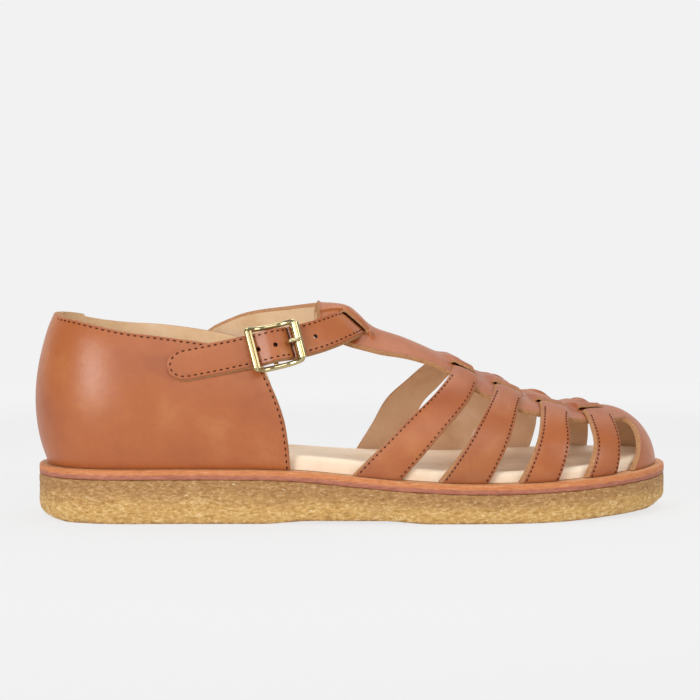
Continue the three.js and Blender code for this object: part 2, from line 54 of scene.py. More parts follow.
# Driving sizes in millimetres, the same as in the solids
SOLE_LENGTH = 276.0
BALL_WIDTH = 99.0
HEEL_WIDTH = 70.0
HEEL_CREPE = 19.3
FORE_CREPE = 13.1
MIDSOLE_THICKNESS = 3.6
TOE_SPRING = 2.8
LEDGE = 5.5
INSOLE_THICKNESS = 4.6
INSOLE_DISH = 1.6
INSTEP_HEIGHT = 84.0
TOE_HEIGHT = 43.6
COLLAR_HEIGHT = 87.0
HEEL_BULGE = 5.2
LEATHER = 1.8
LAST_BACK = 25.0
LAST_FRONT = 30.0
STRAP_WIDTH = 14.2
STRAP_THICKNESS = 2.4
TAB_WIDTH = 12.4
FRAME_LENGTH = 22.0
FRAME_WIDTH = 19.0
BAR_RADIUS = 1.0
ROLLER_RADIUS = 1.6
PRONG_RADIUS = 0.9
GAP = 0.3
CAD_SHIFT = np.array([0.722, 0.641, 0.0])

# Camera of the photo: long lens from the lateral side, a little behind the middle
CAMERA_PLACE = (-0.08838, -1.09596, 0.148)
CAMERA_TURN = (math.radians(85.98), 0.0, math.radians(-4.5))
CAMERA_LENS = 129.6

camera_data = bpy.data.cameras.new("camera")
camera_data.lens = CAMERA_LENS
camera_data.sensor_width = 36.0
camera = linked("camera", camera_data)
camera.location = CAMERA_PLACE
camera.rotation_euler = CAMERA_TURN
bpy.context.scene.camera = camera

# Share of the length, then lateral and medial half width before the ends are rounded
OUTLINE = table("""
0 0.54 0.46
0.15 0.54 0.46
0.28 0.57 0.45
0.4 0.43 0.315
0.52 0.465 0.35
0.62 0.49 0.415
0.7 0.5 0.46
0.78 0.49 0.49
0.88 0.465 0.495
1 0.43 0.5
""")
OUTLINE[:3, 1:] *= HEEL_WIDTH
OUTLINE[3:, 1:] *= BALL_WIDTH
# Reach, power and swing of the rounded heel and toe
HEEL_END = (0.16, 2.2, -0.035 * HEEL_WIDTH)
TOE_END = (0.25, 2.1, 0.12 * BALL_WIDTH)
# Share of the length, shares of the heel's crepe, of the forefoot's crepe, of the toe spring
PROFILE = table("""
0 1 0 0
0.32 1 0 0
0.4 0.88 0.12 0
0.48 0.55 0.45 0
0.56 0.22 0.78 0
0.64 0.03 0.97 0
0.72 0 1 0
0.8 0 1.02 0.1
0.9 0 1.03 0.52
1 0 1.04 1
""")
# Share of the length, ridge height as shares of the instep and of the toe, swing of the ridge
RIDGE = table("""
0 1.07 0 -0.01
0.3 1.07 0 0
0.44 1.04 0 0.01
0.49 0.998 0 0.015
0.54 0.94 0 0.02
0.6 0.888 0 0.02
0.66 0.817 0 0.02
0.72 0.726 0 0.025
0.78 0.58 0.12 0.03
0.84 0.3 0.518 0.035
0.9 0.08 0.86 0.05
0.96 0 1 0.065
1 0 1 0.08
""")
# Share of the length, how far the side bulges, how high it stays steep, how flat the top is
WALL = table("""
0 0.1 0.6 0.5
0.4 0.05 0.55 0.25
0.55 0.05 0.5 0.3
0.65 0.07 0.5 0.4
0.75 0.08 0.55 0.5
0.88 0.06 0.58 0.6
1 -0.03 0.56 0.55
""")
# Share of the way from foot to ridge, rear and front edge of each woven strap
STRAPS = np.split(table("""
0 0.48 0.556
0.22 0.549 0.614
0.47 0.624 0.676
0.7 0.667 0.709
1 0.688 0.722
0 0.611 0.69
0.22 0.66 0.722
0.5 0.711 0.758
0.78 0.75 0.8
1 0.764 0.812
0 0.737 0.804
0.28 0.773 0.828
0.5 0.797 0.845
0.8 0.832 0.887
1 0.844 0.896
0 0.848 0.908
0.28 0.873 0.923
0.5 0.887 0.938
0.8 0.917 0.966
1 0.924 0.972
"""), 4)
# Share of the length, share of the way up where the T-bar's margin ends
BAR = table("""
0.43 0.68
0.48 0.635
0.53 0.655
0.6 0.688
0.65 0.68
0.7 0.59
0.76 0.53
0.86 0.58
1 0.6
""")
SLIT = 0.79
# Share of the way up, how far forward each medial strap and the medial window's front edge lie
MEDIAL_LEAD = table("""
0 0.016 -0.01 -0.009 -0.012 -0.016
0.18 -0.005 -0.013 -0.011 -0.015 -0.018
0.33 -0.024 -0.005 -0.013 -0.018 -0.018
0.45 -0.024 -0.004 -0.014 -0.02 -0.016
0.66 -0.019 -0.006 -0.012 -0.017 -0.004
0.8 -0.007 -0.003 -0.008 -0.012 0
1 0 0 0 0 0
""")
# Share of the length, footbed thickness on the lateral and on the medial side
FOOTBED_RISE = table("""
0 1 1
0.3 1.15 1
0.45 1.35 1
0.55 1.15 1.12
0.62 1 1.18
0.8 1 1.25
1 1.05 1.05
""")
BAR_END = 0.430
BAR_FRONT = 0.99
# Share of the length, how far the T-bar stands off for the ankle strap at its slit and at the ridge
LOOP = table("""
0.43 3.6 2.7
0.44 5 2.6
0.455 6.9 3.1
0.473 8 3.8
0.487 6.6 4.4
0.5 5 3.5
0.51 3.9 2.6
0.52 2.6 1.7
0.532 0.8 0.9
0.545 0.1 0.3
0.56 0 0
""")
LOOP_SLIT = (0.469, 0.526)
# Share of the way up, slant of the cut edge at the rear of each strap, then at its front, in millimetres
SLANT = table("""
0 1.1 1.7 1.9 2.1 0.7 0.5 0.3 0.3
0.25 0.3 0.6 0.9 1.1 0.3 0.2 0.3 0.3
0.5 0.2 0.3 0.6 0.7 0.3 0.3 0.3 0.4
0.74 0.7 0.8 0.7 0.9 0.7 0.6 0.4 0.4
1 0.7 0.8 0.7 0.9 0.7 0.6 0.4 0.4
""")
# Share of the way up, rear edge of the toe cap
TOE_CAP = table("""
0 0.937
0.24 0.962
0.48 0.979
0.6 0.976
0.72 0.955
1 0.955
""")
# Share of the height, how far the heel wall stands out at the back and at the side
HEEL_WALL = table("""
0 0 0
0.15 0.6 0.38
0.3 0.92 0.6
0.45 1 0.66
0.6 0.85 0.52
0.75 0.5 0.22
0.9 -0.05 -0.2
1 -0.62 -0.55
""")
# Share of the length, collar height on the lateral and on the medial side
COLLAR = table("""
0 1 1
0.04 0.985 0.985
0.08 0.962 0.962
0.13 0.932 0.943
0.2 0.903 0.928
0.28 0.862 0.89
0.36 0.78 0.83
0.42 0.76 0.8
""")
# Share of the height, front edge of the quarter
FRONT_EDGE = table("""
0 0.386
0.25 0.383
0.5 0.376
0.75 0.36
1 0.335
""")
# Ankle strap: share of its length, centre line, then the way down its width
STRAP = table("""
-0.285 0.392 0.82 0.15 0.1 -0.98
-0.232 0.415 0.835 0.15 0.12 -0.98
-0.19 0.43 0.872 0.16 0.18 -0.97
-0.154 0.42 0.905 0.18 0.24 -0.95
-0.115 0.385 0.932 0.2 0.3 -0.93
-0.075 0.315 0.955 0.28 0.34 -0.9
-0.038 0.205 0.973 0.45 0.32 -0.83
0 0.022 0.988 0.82 0 -0.57
-0.014 -0.207 0.96 0.56 -0.36 -0.74
-0.053 -0.364 0.918 0.34 -0.35 -0.87
-0.088 -0.444 0.889 0.22 -0.32 -0.92
-0.13 -0.495 0.863 0.19 -0.28 -0.94
-0.176 -0.522 0.835 0.18 -0.26 -0.95
-0.229 -0.53 0.801 0.18 -0.24 -0.95
-0.262 -0.53 0.782 0.17 -0.22 -0.96
-0.3 -0.528 0.76 0.16 -0.2 -0.97
""")
STRAP = np.column_stack([np.arange(len(STRAP)) / (len(STRAP) - 1), STRAP])


def smooth(low, high, value):
    t = np.clip((value - low) / (high - low), 0.0, 1.0)
    return t * t * (3 - 2 * t)


def band(rise_from, rise_to, fall_from, fall_to, value):
    """1 between two soft edges, 0 outside them."""
    return smooth(rise_from, rise_to, value) * (1 - smooth(fall_from, fall_to, value))


def hump(value, centre, width):
    return np.exp(-((value - centre) / width) ** 2)


def same_shape(*values):
    return np.broadcast_arrays(*[np.asarray(value, float) for value in values])


def grid(first, second):
    return np.meshgrid(first, second, indexing="ij")


def along(rows, column, at):
    """Smooth curve through one column of a table whose first column rises."""
    keys, values = rows[:, 0], rows[:, column]
    x = np.clip(at, keys[0], keys[-1])
    i = np.clip(np.searchsorted(keys, x, side="left") - 1, 0, len(keys) - 2)
    before = np.maximum(np.arange(len(keys)) - 1, 0)
    after = np.minimum(np.arange(len(keys)) + 1, len(keys) - 1)
    slopes = (values[after] - values[before]) / (keys[after] - keys[before])
    span = keys[i + 1] - keys[i]
    t = (x - keys[i]) / span
    t2, t3 = t * t, t * t * t
    rise = (2 * t3 - 3 * t2 + 1) * values[i] + (3 * t2 - 2 * t3) * values[i + 1]
    return rise + span * ((t3 - 2 * t2 + t) * slopes[i] + (t3 - t2) * slopes[i + 1])


def by_side(rows, side, at):
    """Column 1 on the lateral and column 2 on the medial side."""
    return np.where(side < 0, along(rows, 1, at), along(rows, 2, at))


def share_at(u):
    return np.sin(np.pi * u / 2) ** 2


def step_at(share):
    return np.arcsin(np.sqrt(np.clip(share, 0, 1))) * 2 / np.pi


def unit(v):
    return v / np.maximum(np.linalg.norm(v, axis=-1, keepdims=True), 1e-9)


# The sole's edge: side -1 is lateral and 1 medial, u runs from heel to toe
def sole_edge(side, u):
    turned = (u < 0) | (u > 1)
    side = np.where(turned, -side, side)
    u = np.where(u < 0, -u, np.where(u > 1, 2 - u, u))
    share = share_at(u)
    half = side * by_side(OUTLINE, side, share)
    heel = share < 0.5
    reach = np.where(heel, HEEL_END[0], TOE_END[0])
    power = np.where(heel, HEEL_END[1], TOE_END[1])
    swing = np.where(heel, HEEL_END[2], TOE_END[2])
    d = np.clip(np.where(heel, share, 1 - share) / reach, 0, 1)
    full = (1 - (1 - d) ** power) ** (1 / power)
    return np.stack([SOLE_LENGTH * (share - 0.5), swing + (half - swing) * full], -1)


def outward(side, u):
    step = 0.004
    run = sole_edge(side, u + step) - sole_edge(side, u - step)
    size = np.linalg.norm(run, axis=-1)
    return np.stack([-side * run[..., 1] / size, side * run[..., 0] / size], -1)


def inset(side, u, distance):
    side, u = same_shape(side, u)
    return sole_edge(side, u) - outward(side, u) * np.asarray(distance)[..., None]


def spring(share):
    return TOE_SPRING * np.maximum(0, along(PROFILE, 3, share))


def crepe_top(share):
    return HEEL_CREPE * along(PROFILE, 1, share) + FORE_CREPE * along(PROFILE, 2, share) + spring(share)


def mid_top(share):
    return crepe_top(share) + MIDSOLE_THICKNESS


# The last's surface: t runs from the foot of the wall to the ridge
def on_last(side, u, t):
    turned = u > 1
    side = np.where(turned, -side, side)
    u = np.where(turned, 2 - u, u)
    share = share_at(u)
    foot = inset(side, u, LEDGE)
    top_x = LAST_BACK - SOLE_LENGTH / 2 + (SOLE_LENGTH - LAST_BACK - LAST_FRONT) * share
    top_y = BALL_WIDTH * along(RIDGE, 3, share)
    top_z = INSTEP_HEIGHT * along(RIDGE, 1, share) + TOE_HEIGHT * along(RIDGE, 2, share)
    bulge, steep, flat = (along(WALL, column, share) for column in (1, 2, 3))
    r = 1 - t
    across = -3 * r * r * t * bulge + 3 * r * t * t * (1 - flat) + t ** 3
    up = 3 * r * r * t * steep + 3 * r * t * t + t ** 3
    low = mid_top(share) + GAP
    return np.stack([
        foot[..., 0] + (top_x - foot[..., 0]) * across,
        foot[..., 1] + (top_y - foot[..., 1]) * across,
        low + (top_z - low) * up,
    ], -1)


def last_normal(side, u, t):
    e = 0.004
    run = on_last(side, u + e, t) - on_last(side, u - e, t)
    climb = on_last(side, u, np.minimum(t + e, 1)) - on_last(side, u, np.maximum(t - e, 0))
    n = np.cross(climb, run) * side[..., None]
    n[..., 1] = np.where(t > 0.999, 0.0, n[..., 1])
    return unit(n)


def last_point(side, u, t, lift):
    side, u, t = same_shape(side, u, t)
    p = on_last(side, u, t) + last_normal(side, u, t) * np.asarray(lift)[..., None]
    p[..., 2] = np.maximum(p[..., 2], mid_top(share_at(np.where(u > 1, 2 - u, u))) + GAP)
    return p


# The heel wall: h runs from the foot of the wall to the collar
def heel_wall(side, u, h, lift):
    side, u, h = same_shape(side, u, h)
    share = share_at(u)
    foot = inset(side, u, LEDGE)
    n = outward(side, u)
    low = mid_top(share) + GAP
    high = COLLAR_HEIGHT * by_side(COLLAR, side, share)
    to_side = smooth(0, 0.2, share)
    out = HEEL_BULGE * (along(HEEL_WALL, 1, h) * (1 - to_side) + along(HEEL_WALL, 2, h) * to_side)
    out = out + lift
    return np.stack([foot[..., 0] + n[..., 0] * out, foot[..., 1] + n[..., 1] * out, low + (high - low) * h], -1)


def lead_at(side, number, t):
    """How far forward a strap, or with 5 the window's front edge, lies on the medial side."""
    return np.where(side > 0, along(MEDIAL_LEAD, number, t), 0.0)


# Ankle strap
def strap_frame(v):
    def centre_at(w):
        return np.stack([
            SOLE_LENGTH * along(STRAP, 1, w),
            HEEL_WIDTH * along(STRAP, 2, w),
            COLLAR_HEIGHT * along(STRAP, 3, w),
        ], -1)
    v = np.asarray(v, float)
    centre = centre_at(v)
    forward = unit(centre_at(np.minimum(v + 0.01, 1)) - centre_at(np.maximum(v - 0.01, 0)))
    rough = unit(np.stack([along(STRAP, column, v) for column in (4, 5, 6)], -1))
    out = unit(-np.cross(rough, forward))
    down = unit(-np.cross(forward, out))
    return centre, forward, down, out


BUCKLE_AT = 0.746
ROLLER_SHOWN, ROLLER_OUT, ROLLER_UP = 2.1, 1.15, 0.45
SEAT_CENTRE, SEAT_FORWARD, SEAT_DOWN, SEAT_OUT = strap_frame(BUCKLE_AT)
TO_INSTEP = -SEAT_FORWARD
UP_WIDTH = -SEAT_DOWN
BAR_SPAN = FRAME_LENGTH / 2 - ROLLER_RADIUS
SIDE_SPAN = FRAME_WIDTH / 2 - BAR_RADIUS
WEAVE = 2.4
SINK = 0.4
LOOP_WALL = 1.2
TAB_DROP = 0.5
END_RISE = STRAP_THICKNESS / 2 + GAP + ROLLER_RADIUS - SINK
CENTRE_DROP = WEAVE - STRAP_THICKNESS / 2 - GAP - LOOP_WALL - GAP - BAR_RADIUS
TIP_START = 0.95
TIP_POINT = 0.985
CREASE_AT = 7.9
# Share of the strap, how far its upper edge stands out, how deep it dips inside the T-bar's loop
STRAP_FIT = table("""
0 -2.6 0
0.06 -2.2 0
0.09 -0.5 0
0.12 0.3 0
0.17 1.1 0
0.22 0.9 0
0.3 0.2 0
0.41 0 0
0.45 -0.6 2.6
0.5 -1 2.6
0.53 -0.8 0.7
0.56 0 0
1 0 0
""")


def strap_weave(p):
    distance = (p - SEAT_CENTRE) @ TO_INSTEP
    near = (p[..., 1] <= 0) & (np.abs(distance) <= BAR_SPAN)
    wave = (WEAVE + SINK) * (1 + np.cos(np.pi * distance / BAR_SPAN)) / 2
    crease = np.where(near, 0.8 * hump(distance, CREASE_AT, 0.4), 0.0)
    return -SINK + np.where(near, wave, 0.0) - crease


def strap_point(v, across, lift, width=STRAP_WIDTH):
    """A point of the ankle strap: across runs from -1 at its upper edge to 1 at its lower edge."""
    centre, _, down, out = strap_frame(v)
    tip = np.clip((v - TIP_START) / (1 - TIP_START), 0, 1)
    half = across * width / 2 * np.sqrt(1 - TIP_POINT * tip * tip)
    half = half - along(STRAP_FIT, 1, v) * (1 - across) / 2
    height = lift + strap_weave(centre) - along(STRAP_FIT, 2, v)
    return centre + down * half[..., None] + out * height[..., None]


# Mesh builders
def placed(points):
    return (np.asarray(points, float).reshape(-1, 3) + CAD_SHIFT) * 0.001


def make_piece(name, points, faces, materials, slots=None, uvs=None, attributes=None, sharp=38.0):
    """A mesh object from points in millimetres; slots gives each face's material."""
    mesh = bpy.data.meshes.new(name)
    mesh.from_pydata(placed(points).tolist(), [], faces)
    for each in materials:
        mesh.materials.append(each)
    if slots is not None:
        mesh.polygons.foreach_set("material_index", np.asarray(slots, np.int32))
    if uvs is not None:
        layer = mesh.uv_layers.new(name="mm")
        index = np.zeros(len(mesh.loops), np.int32)
        mesh.loops.foreach_get("vertex_index", index)
        layer.data.foreach_set("uv", np.asarray(uvs, np.float32)[index].ravel())
    for key, values in (attributes or {}).items():
        layer = mesh.attributes.new(key, "FLOAT", "POINT")
        layer.data.foreach_set("value", np.asarray(values, np.float32).ravel())
    mesh.polygons.foreach_set("use_smooth", [True] * len(mesh.polygons))
    mesh.validate()
    mesh.set_sharp_from_angle(angle=math.radians(sharp))
    return linked(name, mesh)


def merge_close(piece):
    mesh = piece.data
    work = bmesh.new()
    work.from_mesh(mesh)
    bmesh.ops.remove_doubles(work, verts=work.verts, dist=MERGE_DISTANCE)
    work.to_mesh(mesh)
    work.free()
    mesh.update()


def edged(count, margin):
    """Steps from 0 to 1 with extra lines close to both ends."""
    return np.concatenate([[0, margin * 0.4], np.linspace(margin, 1 - margin, count), [1 - margin * 0.4, 1]])


def lengths(grid, axis):
    step = np.linalg.norm(np.diff(grid, axis=axis), axis=-1)
    start = np.zeros_like(np.take(step, [0], axis=axis))
    return np.cumsum(np.concatenate([start, step], axis=axis), axis=axis)


RIM_ROWS = 3
MERGE_DISTANCE = 0.00002
RIM_BULGE = 0.16
WORN = 0.16


def wall(name, top, under, materials, rims=(True, True, True, True), slits=None, **attributes):
    """Closed leather wall between two grids of points; rims says which sides get a cut edge.

    slits marks grid cells that are left open; their sides get a cut edge too.
    """
    n, m = top.shape[:2]
    count = n * m
    top, under = top.reshape(-1, 3), under.reshape(-1, 3)
    along_u, along_v = (lengths(top.reshape(n, m, 3), axis) for axis in (0, 1))
    away = [along_u, along_u[-1:, :] - along_u, along_v, along_v[:, -1:] - along_v]
    edge = np.full((n, m), 50.0)
    for wanted, each in zip(rims, away):
        if wanted:
            edge = np.minimum(edge, each)
    i, j = grid(np.arange(n - 1), np.arange(m - 1))
    a = (i * m + j).ravel()
    quads = np.stack([a, a + m, a + m + 1, a + 1], -1)
    shut = np.ones(len(quads), bool) if slits is None else ~slits.ravel()
    faces = quads[shut].tolist() + (quads[shut][:, ::-1] + count).tolist()
    slots = [0] * int(shut.sum()) + [2] * int(shut.sum())
    if slits is not None:
        around = np.pad(slits, 1)
        for row, column in np.argwhere(slits):
            ring = quads[row * (m - 1) + column].tolist()
            for k, (down, right) in enumerate(((1, 0), (2, 1), (1, 2), (0, 1))):
                if not around[row + down, column + right]:
                    p, q = ring[k], ring[(k + 1) % 4]
                    faces.append([p, q, q + count, p + count])
                    slots.append(1)
    sides = ((np.arange(m), m, False), (np.arange(m) + (n - 1) * m, -m, True),
             (np.arange(n) * m, 1, True), (np.arange(n) * m + m - 1, -1, False))
    points, extra, total = [top, under], [], 2 * count
    for wanted, (line, inner, flip) in zip(rims, sides):
        if not wanted:
            continue
        out = unit(top[line] - top[line + inner])
        rows = [line]
        for s in np.arange(1, RIM_ROWS + 1) / (RIM_ROWS + 1):
            bulge = RIM_BULGE * math.sin(math.pi * s)
            points.append(top[line] * (1 - s) + under[line] * s + out * bulge)
            extra.append(line)
            rows.append(np.arange(total, total + len(line)))
            total += len(line)
        rows.append(line + count)
        for first, second in zip(rows, rows[1:]):
            for quad in np.stack([first[:-1], first[1:], second[1:], second[:-1]], -1).tolist():
                faces.append(quad[::-1] if flip else quad)
                slots.append(1)

    def spread(values):
        return np.concatenate([values, values] + [values[line] for line in extra])
    given = {key: spread(np.asarray(values, float).ravel()) for key, values in attributes.items()}
    given["edge"] = spread(edge.ravel())
    given["edge"][2 * count:] = 0
    uvs = spread(np.stack([along_u, along_v], -1).reshape(-1, 2))
    return make_piece(name, np.concatenate(points), faces, materials, slots, uvs, given)


def soften_edges(top, under, sides=(True, True, True, True)):
    """Drops the outer lines of a top sheet a little, as a cut edge is rounded by wear."""
    top = top.copy()
    for wanted, key in zip(sides, (np.s_[0], np.s_[-1], np.s_[:, 0], np.s_[:, -1])):
        if wanted:
            top[key] = top[key] * (1 - WORN) + under[key] * WORN
    return top


def ring_faces(count, sides, closed=False):
    """Quads between rings of equal count, one after another."""
    faces = []
    for i in range(count if closed else count - 1):
        k = (i + 1) % count
        for j in range(sides):
            l = (j + 1) % sides
            faces.append([i * sides + j, i * sides + l, k * sides + l, k * sides + j])
    return faces


def tube(path, across, up, widths, heights, sides=16, closed=False, power=1.0):
    """Points and faces of a swept oval section along a path; a power below 1 makes it squarer."""
    n = len(path)
    angle = np.arange(sides) * 2 * np.pi / sides
    wide, high = (np.sign(f(angle)) * np.abs(f(angle)) ** power for f in (np.cos, np.sin))
    ring = (path[:, None] + across[:, None] * (wide[None, :, None] * widths[:, None, None])
            + up[:, None] * (high[None, :, None] * heights[:, None, None]))
    faces = ring_faces(n, sides, closed)
    if not closed:
        faces.append(list(range(sides))[::-1])
        faces.append([(n - 1) * sides + j for j in range(sides)])
    return ring.reshape(-1, 3), faces


def join_parts(parts):
    points, faces, total = [], [], 0
    for each_points, each_faces in parts:
        points.append(each_points)
        faces += [[k + total for k in face] for face in each_faces]
        total += len(each_points)
    return np.concatenate(points), faces


# Materials
def linear(colour):
    """Hex sRGB colour as linear values with alpha."""
    parts = [int(colour[k:k + 2], 16) / 255 for k in (1, 3, 5)]
    return [c / 12.92 if c <= 0.04045 else ((c + 0.055) / 1.055) ** 2.4 for c in parts] + [1.0]


def add(tree, kind, values=None, **settings):
    """Adds a node with its settings; a value that is a socket is linked."""
    made = tree.nodes.new(kind)
    for key, value in settings.items():
        setattr(made, key, value)
    for key, value in (values or {}).items():
        if isinstance(value, bpy.types.NodeSocket):
            tree.links.new(value, made.inputs[key])
        else:
            made.inputs[key].default_value = value
    return made


def out_of(tree, kind, output, values=None, **settings):
    """Adds a node and gives one of its outputs."""
    return add(tree, kind, values, **settings).outputs[output]


def finish(name, **shader):
    """A material with its Principled shader and the sockets that are the same all over."""
    made = bpy.data.materials.new(name)
    made.use_nodes = True
    tree = made.node_tree
    tree.nodes.clear()
    principled = add(tree, "ShaderNodeBsdfPrincipled", {k.replace("_", " "): v for k, v in shader.items()})
    add(tree, "ShaderNodeOutputMaterial", {"Surface": principled.outputs["BSDF"]})
    return made, tree, principled


def object_coords(tree, stretch=(1, 1, 1)):
    coords = out_of(tree, "ShaderNodeTexCoord", "Object")
    return out_of(tree, "ShaderNodeMapping", "Vector", {"Vector": coords, "Scale": stretch})


def noise_at(tree, vector, size_mm, detail=3.0, rough=0.55, warp=0.0):
    return out_of(tree, "ShaderNodeTexNoise", "Fac", {
        "Vector": vector, "Scale": 1000.0 / size_mm, "Detail": detail, "Roughness": rough, "Distortion": warp})


def ramp(tree, fac, stops, mode="EASE"):
    """Colour ramp: stops are (place, hex colour)."""
    made = add(tree, "ShaderNodeValToRGB", {"Fac": fac})
    made.color_ramp.interpolation = mode
    elements = made.color_ramp.elements
    while len(elements) < len(stops):
        elements.new(0.5)
    for element, (place, colour) in zip(elements, stops):
        element.position = place
        element.color = linear(colour)
    return made.outputs["Color"]


def reach(tree, value, low, high, to_low=0.0, to_high=1.0):
    return out_of(tree, "ShaderNodeMapRange", "Result", {
        "Value": value, "From Min": low, "From Max": high, "To Min": to_low, "To Max": to_high,
    }, interpolation_type="SMOOTHSTEP")


def maths(tree, operation, a, b=0.0):
    return out_of(tree, "ShaderNodeMath", "Value", {0: a, 1: b}, operation=operation)


def bump(tree, height, depth_mm, under=None):
    values = {"Height": height, "Distance": depth_mm * 0.001, "Strength": 1.0}
    if under is not None:
        values["Normal"] = under
    return out_of(tree, "ShaderNodeBump", "Normal", values)


def attribute(tree, name):
    return out_of(tree, "ShaderNodeAttribute", "Fac", attribute_name=name)


def mix(tree, fac, a, b):
    """Mix node for colours; a and b are sockets or hex colours."""
    made = add(tree, "ShaderNodeMix", data_type="RGBA")
    sockets = [s for s in made.inputs if s.enabled]
    for socket, value in zip(sockets, (fac, a, b)):
        if isinstance(value, bpy.types.NodeSocket):
            tree.links.new(value, socket)
        else:
            socket.default_value = linear(value) if isinstance(value, str) else value
    return [s for s in made.outputs if s.enabled][0]


def dressed(made, shader, colour, normal):
    """The material with its colour and its normal linked to the shader."""
    made.node_tree.links.new(colour, shader.inputs["Base Color"])
    made.node_tree.links.new(normal, shader.inputs["Normal"])
    return made


def plain_look(name, spots, stops, depth_mm, relief=None, **shader):
    """A look with one noise for its colour and the same, or another one, for its relief."""
    made, tree, principled = finish(name, **shader)
    place = object_coords(tree)
    cloud = noise_at(tree, place, *spots)
    height = noise_at(tree, place, *relief) if relief else cloud
    return dressed(made, principled, ramp(tree, cloud, stops), bump(tree, height, depth_mm))


GRAIN_SIZE = 0.75


def calf_leather():
    """Vegetable-tanned calf, dyed tan and waxed: cloudy colour, fine closed grain, soft gloss, and painted shade
    where an attribute asks for it.
    """
    made, tree, shader = finish("waxed_calf_leather", IOR=1.53)
    place = object_coords(tree)
    cloud = noise_at(tree, place, 38, 3.0, 0.6)
    fine = noise_at(tree, place, 1.6, 4.0, 0.65)
    grain = out_of(tree, "ShaderNodeTexVoronoi", "Distance", {"Vector": place, "Scale": 1000 / GRAIN_SIZE},
                   feature="DISTANCE_TO_EDGE")
    colour = ramp(tree, cloud, [(0.30, "#9a5026"), (0.50, "#a95d2c"), (0.70, "#b56d3a")])
    colour = mix(tree, maths(tree, "MULTIPLY", reach(tree, fine, 0.35, 0.75), 0.22), colour, "#94482a")
    # Painted shade: darkens the grain towards deep brown at the woven straps' feet and slits, along the ankle strap's
    # crease and over the second strap
    colour = mix(tree, attribute(tree, "burnish"), colour, "#45190d")
    colour = mix(tree, reach(tree, attribute(tree, "edge"), 0.0, 1.6, 0.35, 0.0), colour, "#8a4527")
    rough = out_of(tree, "ShaderNodeMapRange", "Result", {"Value": fine, "To Min": 0.32, "To Max": 0.46})
    tree.links.new(rough, shader.inputs["Roughness"])
    height = maths(tree, "MULTIPLY", grain, 1.4)
    first = bump(tree, maths(tree, "ADD", height, fine), 0.035)
    soft = noise_at(tree, place, 9, 2.0, 0.5)
    return dressed(made, shader, colour, bump(tree, soft, 0.16, first))


def lining_leather(name, stops, size=0.55):
    """Undyed lining leather: pale, matt, very fine pores and slack creases."""
    made, tree, shader = finish(name, Roughness=0.62, IOR=1.45)
    place = object_coords(tree)
    cloud = noise_at(tree, place, 16, 4.0, 0.6)
    colour = ramp(tree, cloud, stops)
    pores = noise_at(tree, place, size, 3.0, 0.7)
    colour = mix(tree, maths(tree, "MULTIPLY", pores, 0.14), colour, "#8c6238")
    crease = noise_at(tree, object_coords(tree, (0.45, 0.45, 1.0)), 3.2, 2.0, 0.5, 0.6)
    first = bump(tree, pores, 0.05)
    return dressed(made, shader, colour, bump(tree, crease, 0.22, first))


def midsole_leather():
    """Leather board: waxed orange edge with fibres along it, its lower third scuffed red-brown."""
    made, tree, shader = finish("leather_board", Roughness=0.6, IOR=1.45)
    place = object_coords(tree)
    fibre = noise_at(tree, object_coords(tree, (0.3, 0.3, 1.6)), 1.2, 5.0, 0.7)
    rise = attribute(tree, "rise")
    ragged = maths(tree, "ADD", rise, maths(tree, "MULTIPLY", noise_at(tree, place, 2.0, 4.0, 0.65), 0.40))
    colour = ramp(tree, fibre, [(0.25, "#a8602f"), (0.50, "#c57a47"), (0.78, "#dba478")])
    dark = ramp(tree, fibre, [(0.25, "#884a38"), (0.55, "#ad6a52"), (0.80, "#c98f75")])
    colour = mix(tree, reach(tree, ragged, 0.60, 0.76), dark, colour)
    top = ramp(tree, fibre, [(0.25, "#b97a48"), (0.50, "#c98f60"), (0.80, "#deb388")])
    colour = mix(tree, reach(tree, rise, 1.05, 1.35), colour, top)
    return dressed(made, shader, colour, bump(tree, fibre, 0.16))


def crepe_rubber():
    """Plantation crepe: rolled sheets of latex, so gold with streaks along the sheets and pale fibres."""
    made, tree, shader = finish(
        "plantation_crepe", Roughness=0.72, IOR=1.52, Subsurface_Weight=0.10,
        Subsurface_Radius=(0.004, 0.002, 0.0008), Subsurface_Scale=1.0)
    flat = object_coords(tree, (0.45, 0.45, 1.0))
    place = object_coords(tree)
    streaks = noise_at(tree, flat, 1.05, 6.0, 0.72, 0.4)
    cloud = noise_at(tree, object_coords(tree, (0.5, 0.5, 1.0)), 6.0, 3.0, 0.6, 0.3)
    crumbs = noise_at(tree, place, 0.8, 4.0, 0.75)
    rise = attribute(tree, "rise")
    upper = ramp(tree, streaks, [(0.32, "#84592c"), (0.50, "#ab7d47"), (0.66, "#cda473")])
    lower = ramp(tree, streaks, [(0.32, "#a57434"), (0.50, "#cc9f59"), (0.66, "#eaca93")])
    level = maths(tree, "ADD", rise, maths(tree, "MULTIPLY", cloud, 0.5))
    colour = mix(tree, reach(tree, level, 0.55, 1.10), lower, upper)
    colour = mix(tree, reach(tree, cloud, 0.55, 0.75, 0.0, 0.35), colour, "#a87843")
    fibre = noise_at(tree, object_coords(tree, (0.22, 0.22, 1.0)), 0.55, 2.0, 0.5, 1.2)
    colour = mix(tree, reach(tree, fibre, 0.66, 0.74, 0.0, 0.7), colour, "#efe0bd")
    colour = mix(tree, reach(tree, crumbs, 0.52, 0.80, 0.0, 0.45), colour, "#8a6130")
    ragged = maths(tree, "ADD", rise, maths(tree, "MULTIPLY", streaks, 0.16))
    colour = mix(tree, reach(tree, ragged, 0.06, 0.15, 0.8, 0.0), colour, "#8a5a2c")
    first = bump(tree, streaks, 0.6)
    return dressed(made, shader, colour, bump(tree, crumbs, 0.25, first))


CALF = calf_leather()
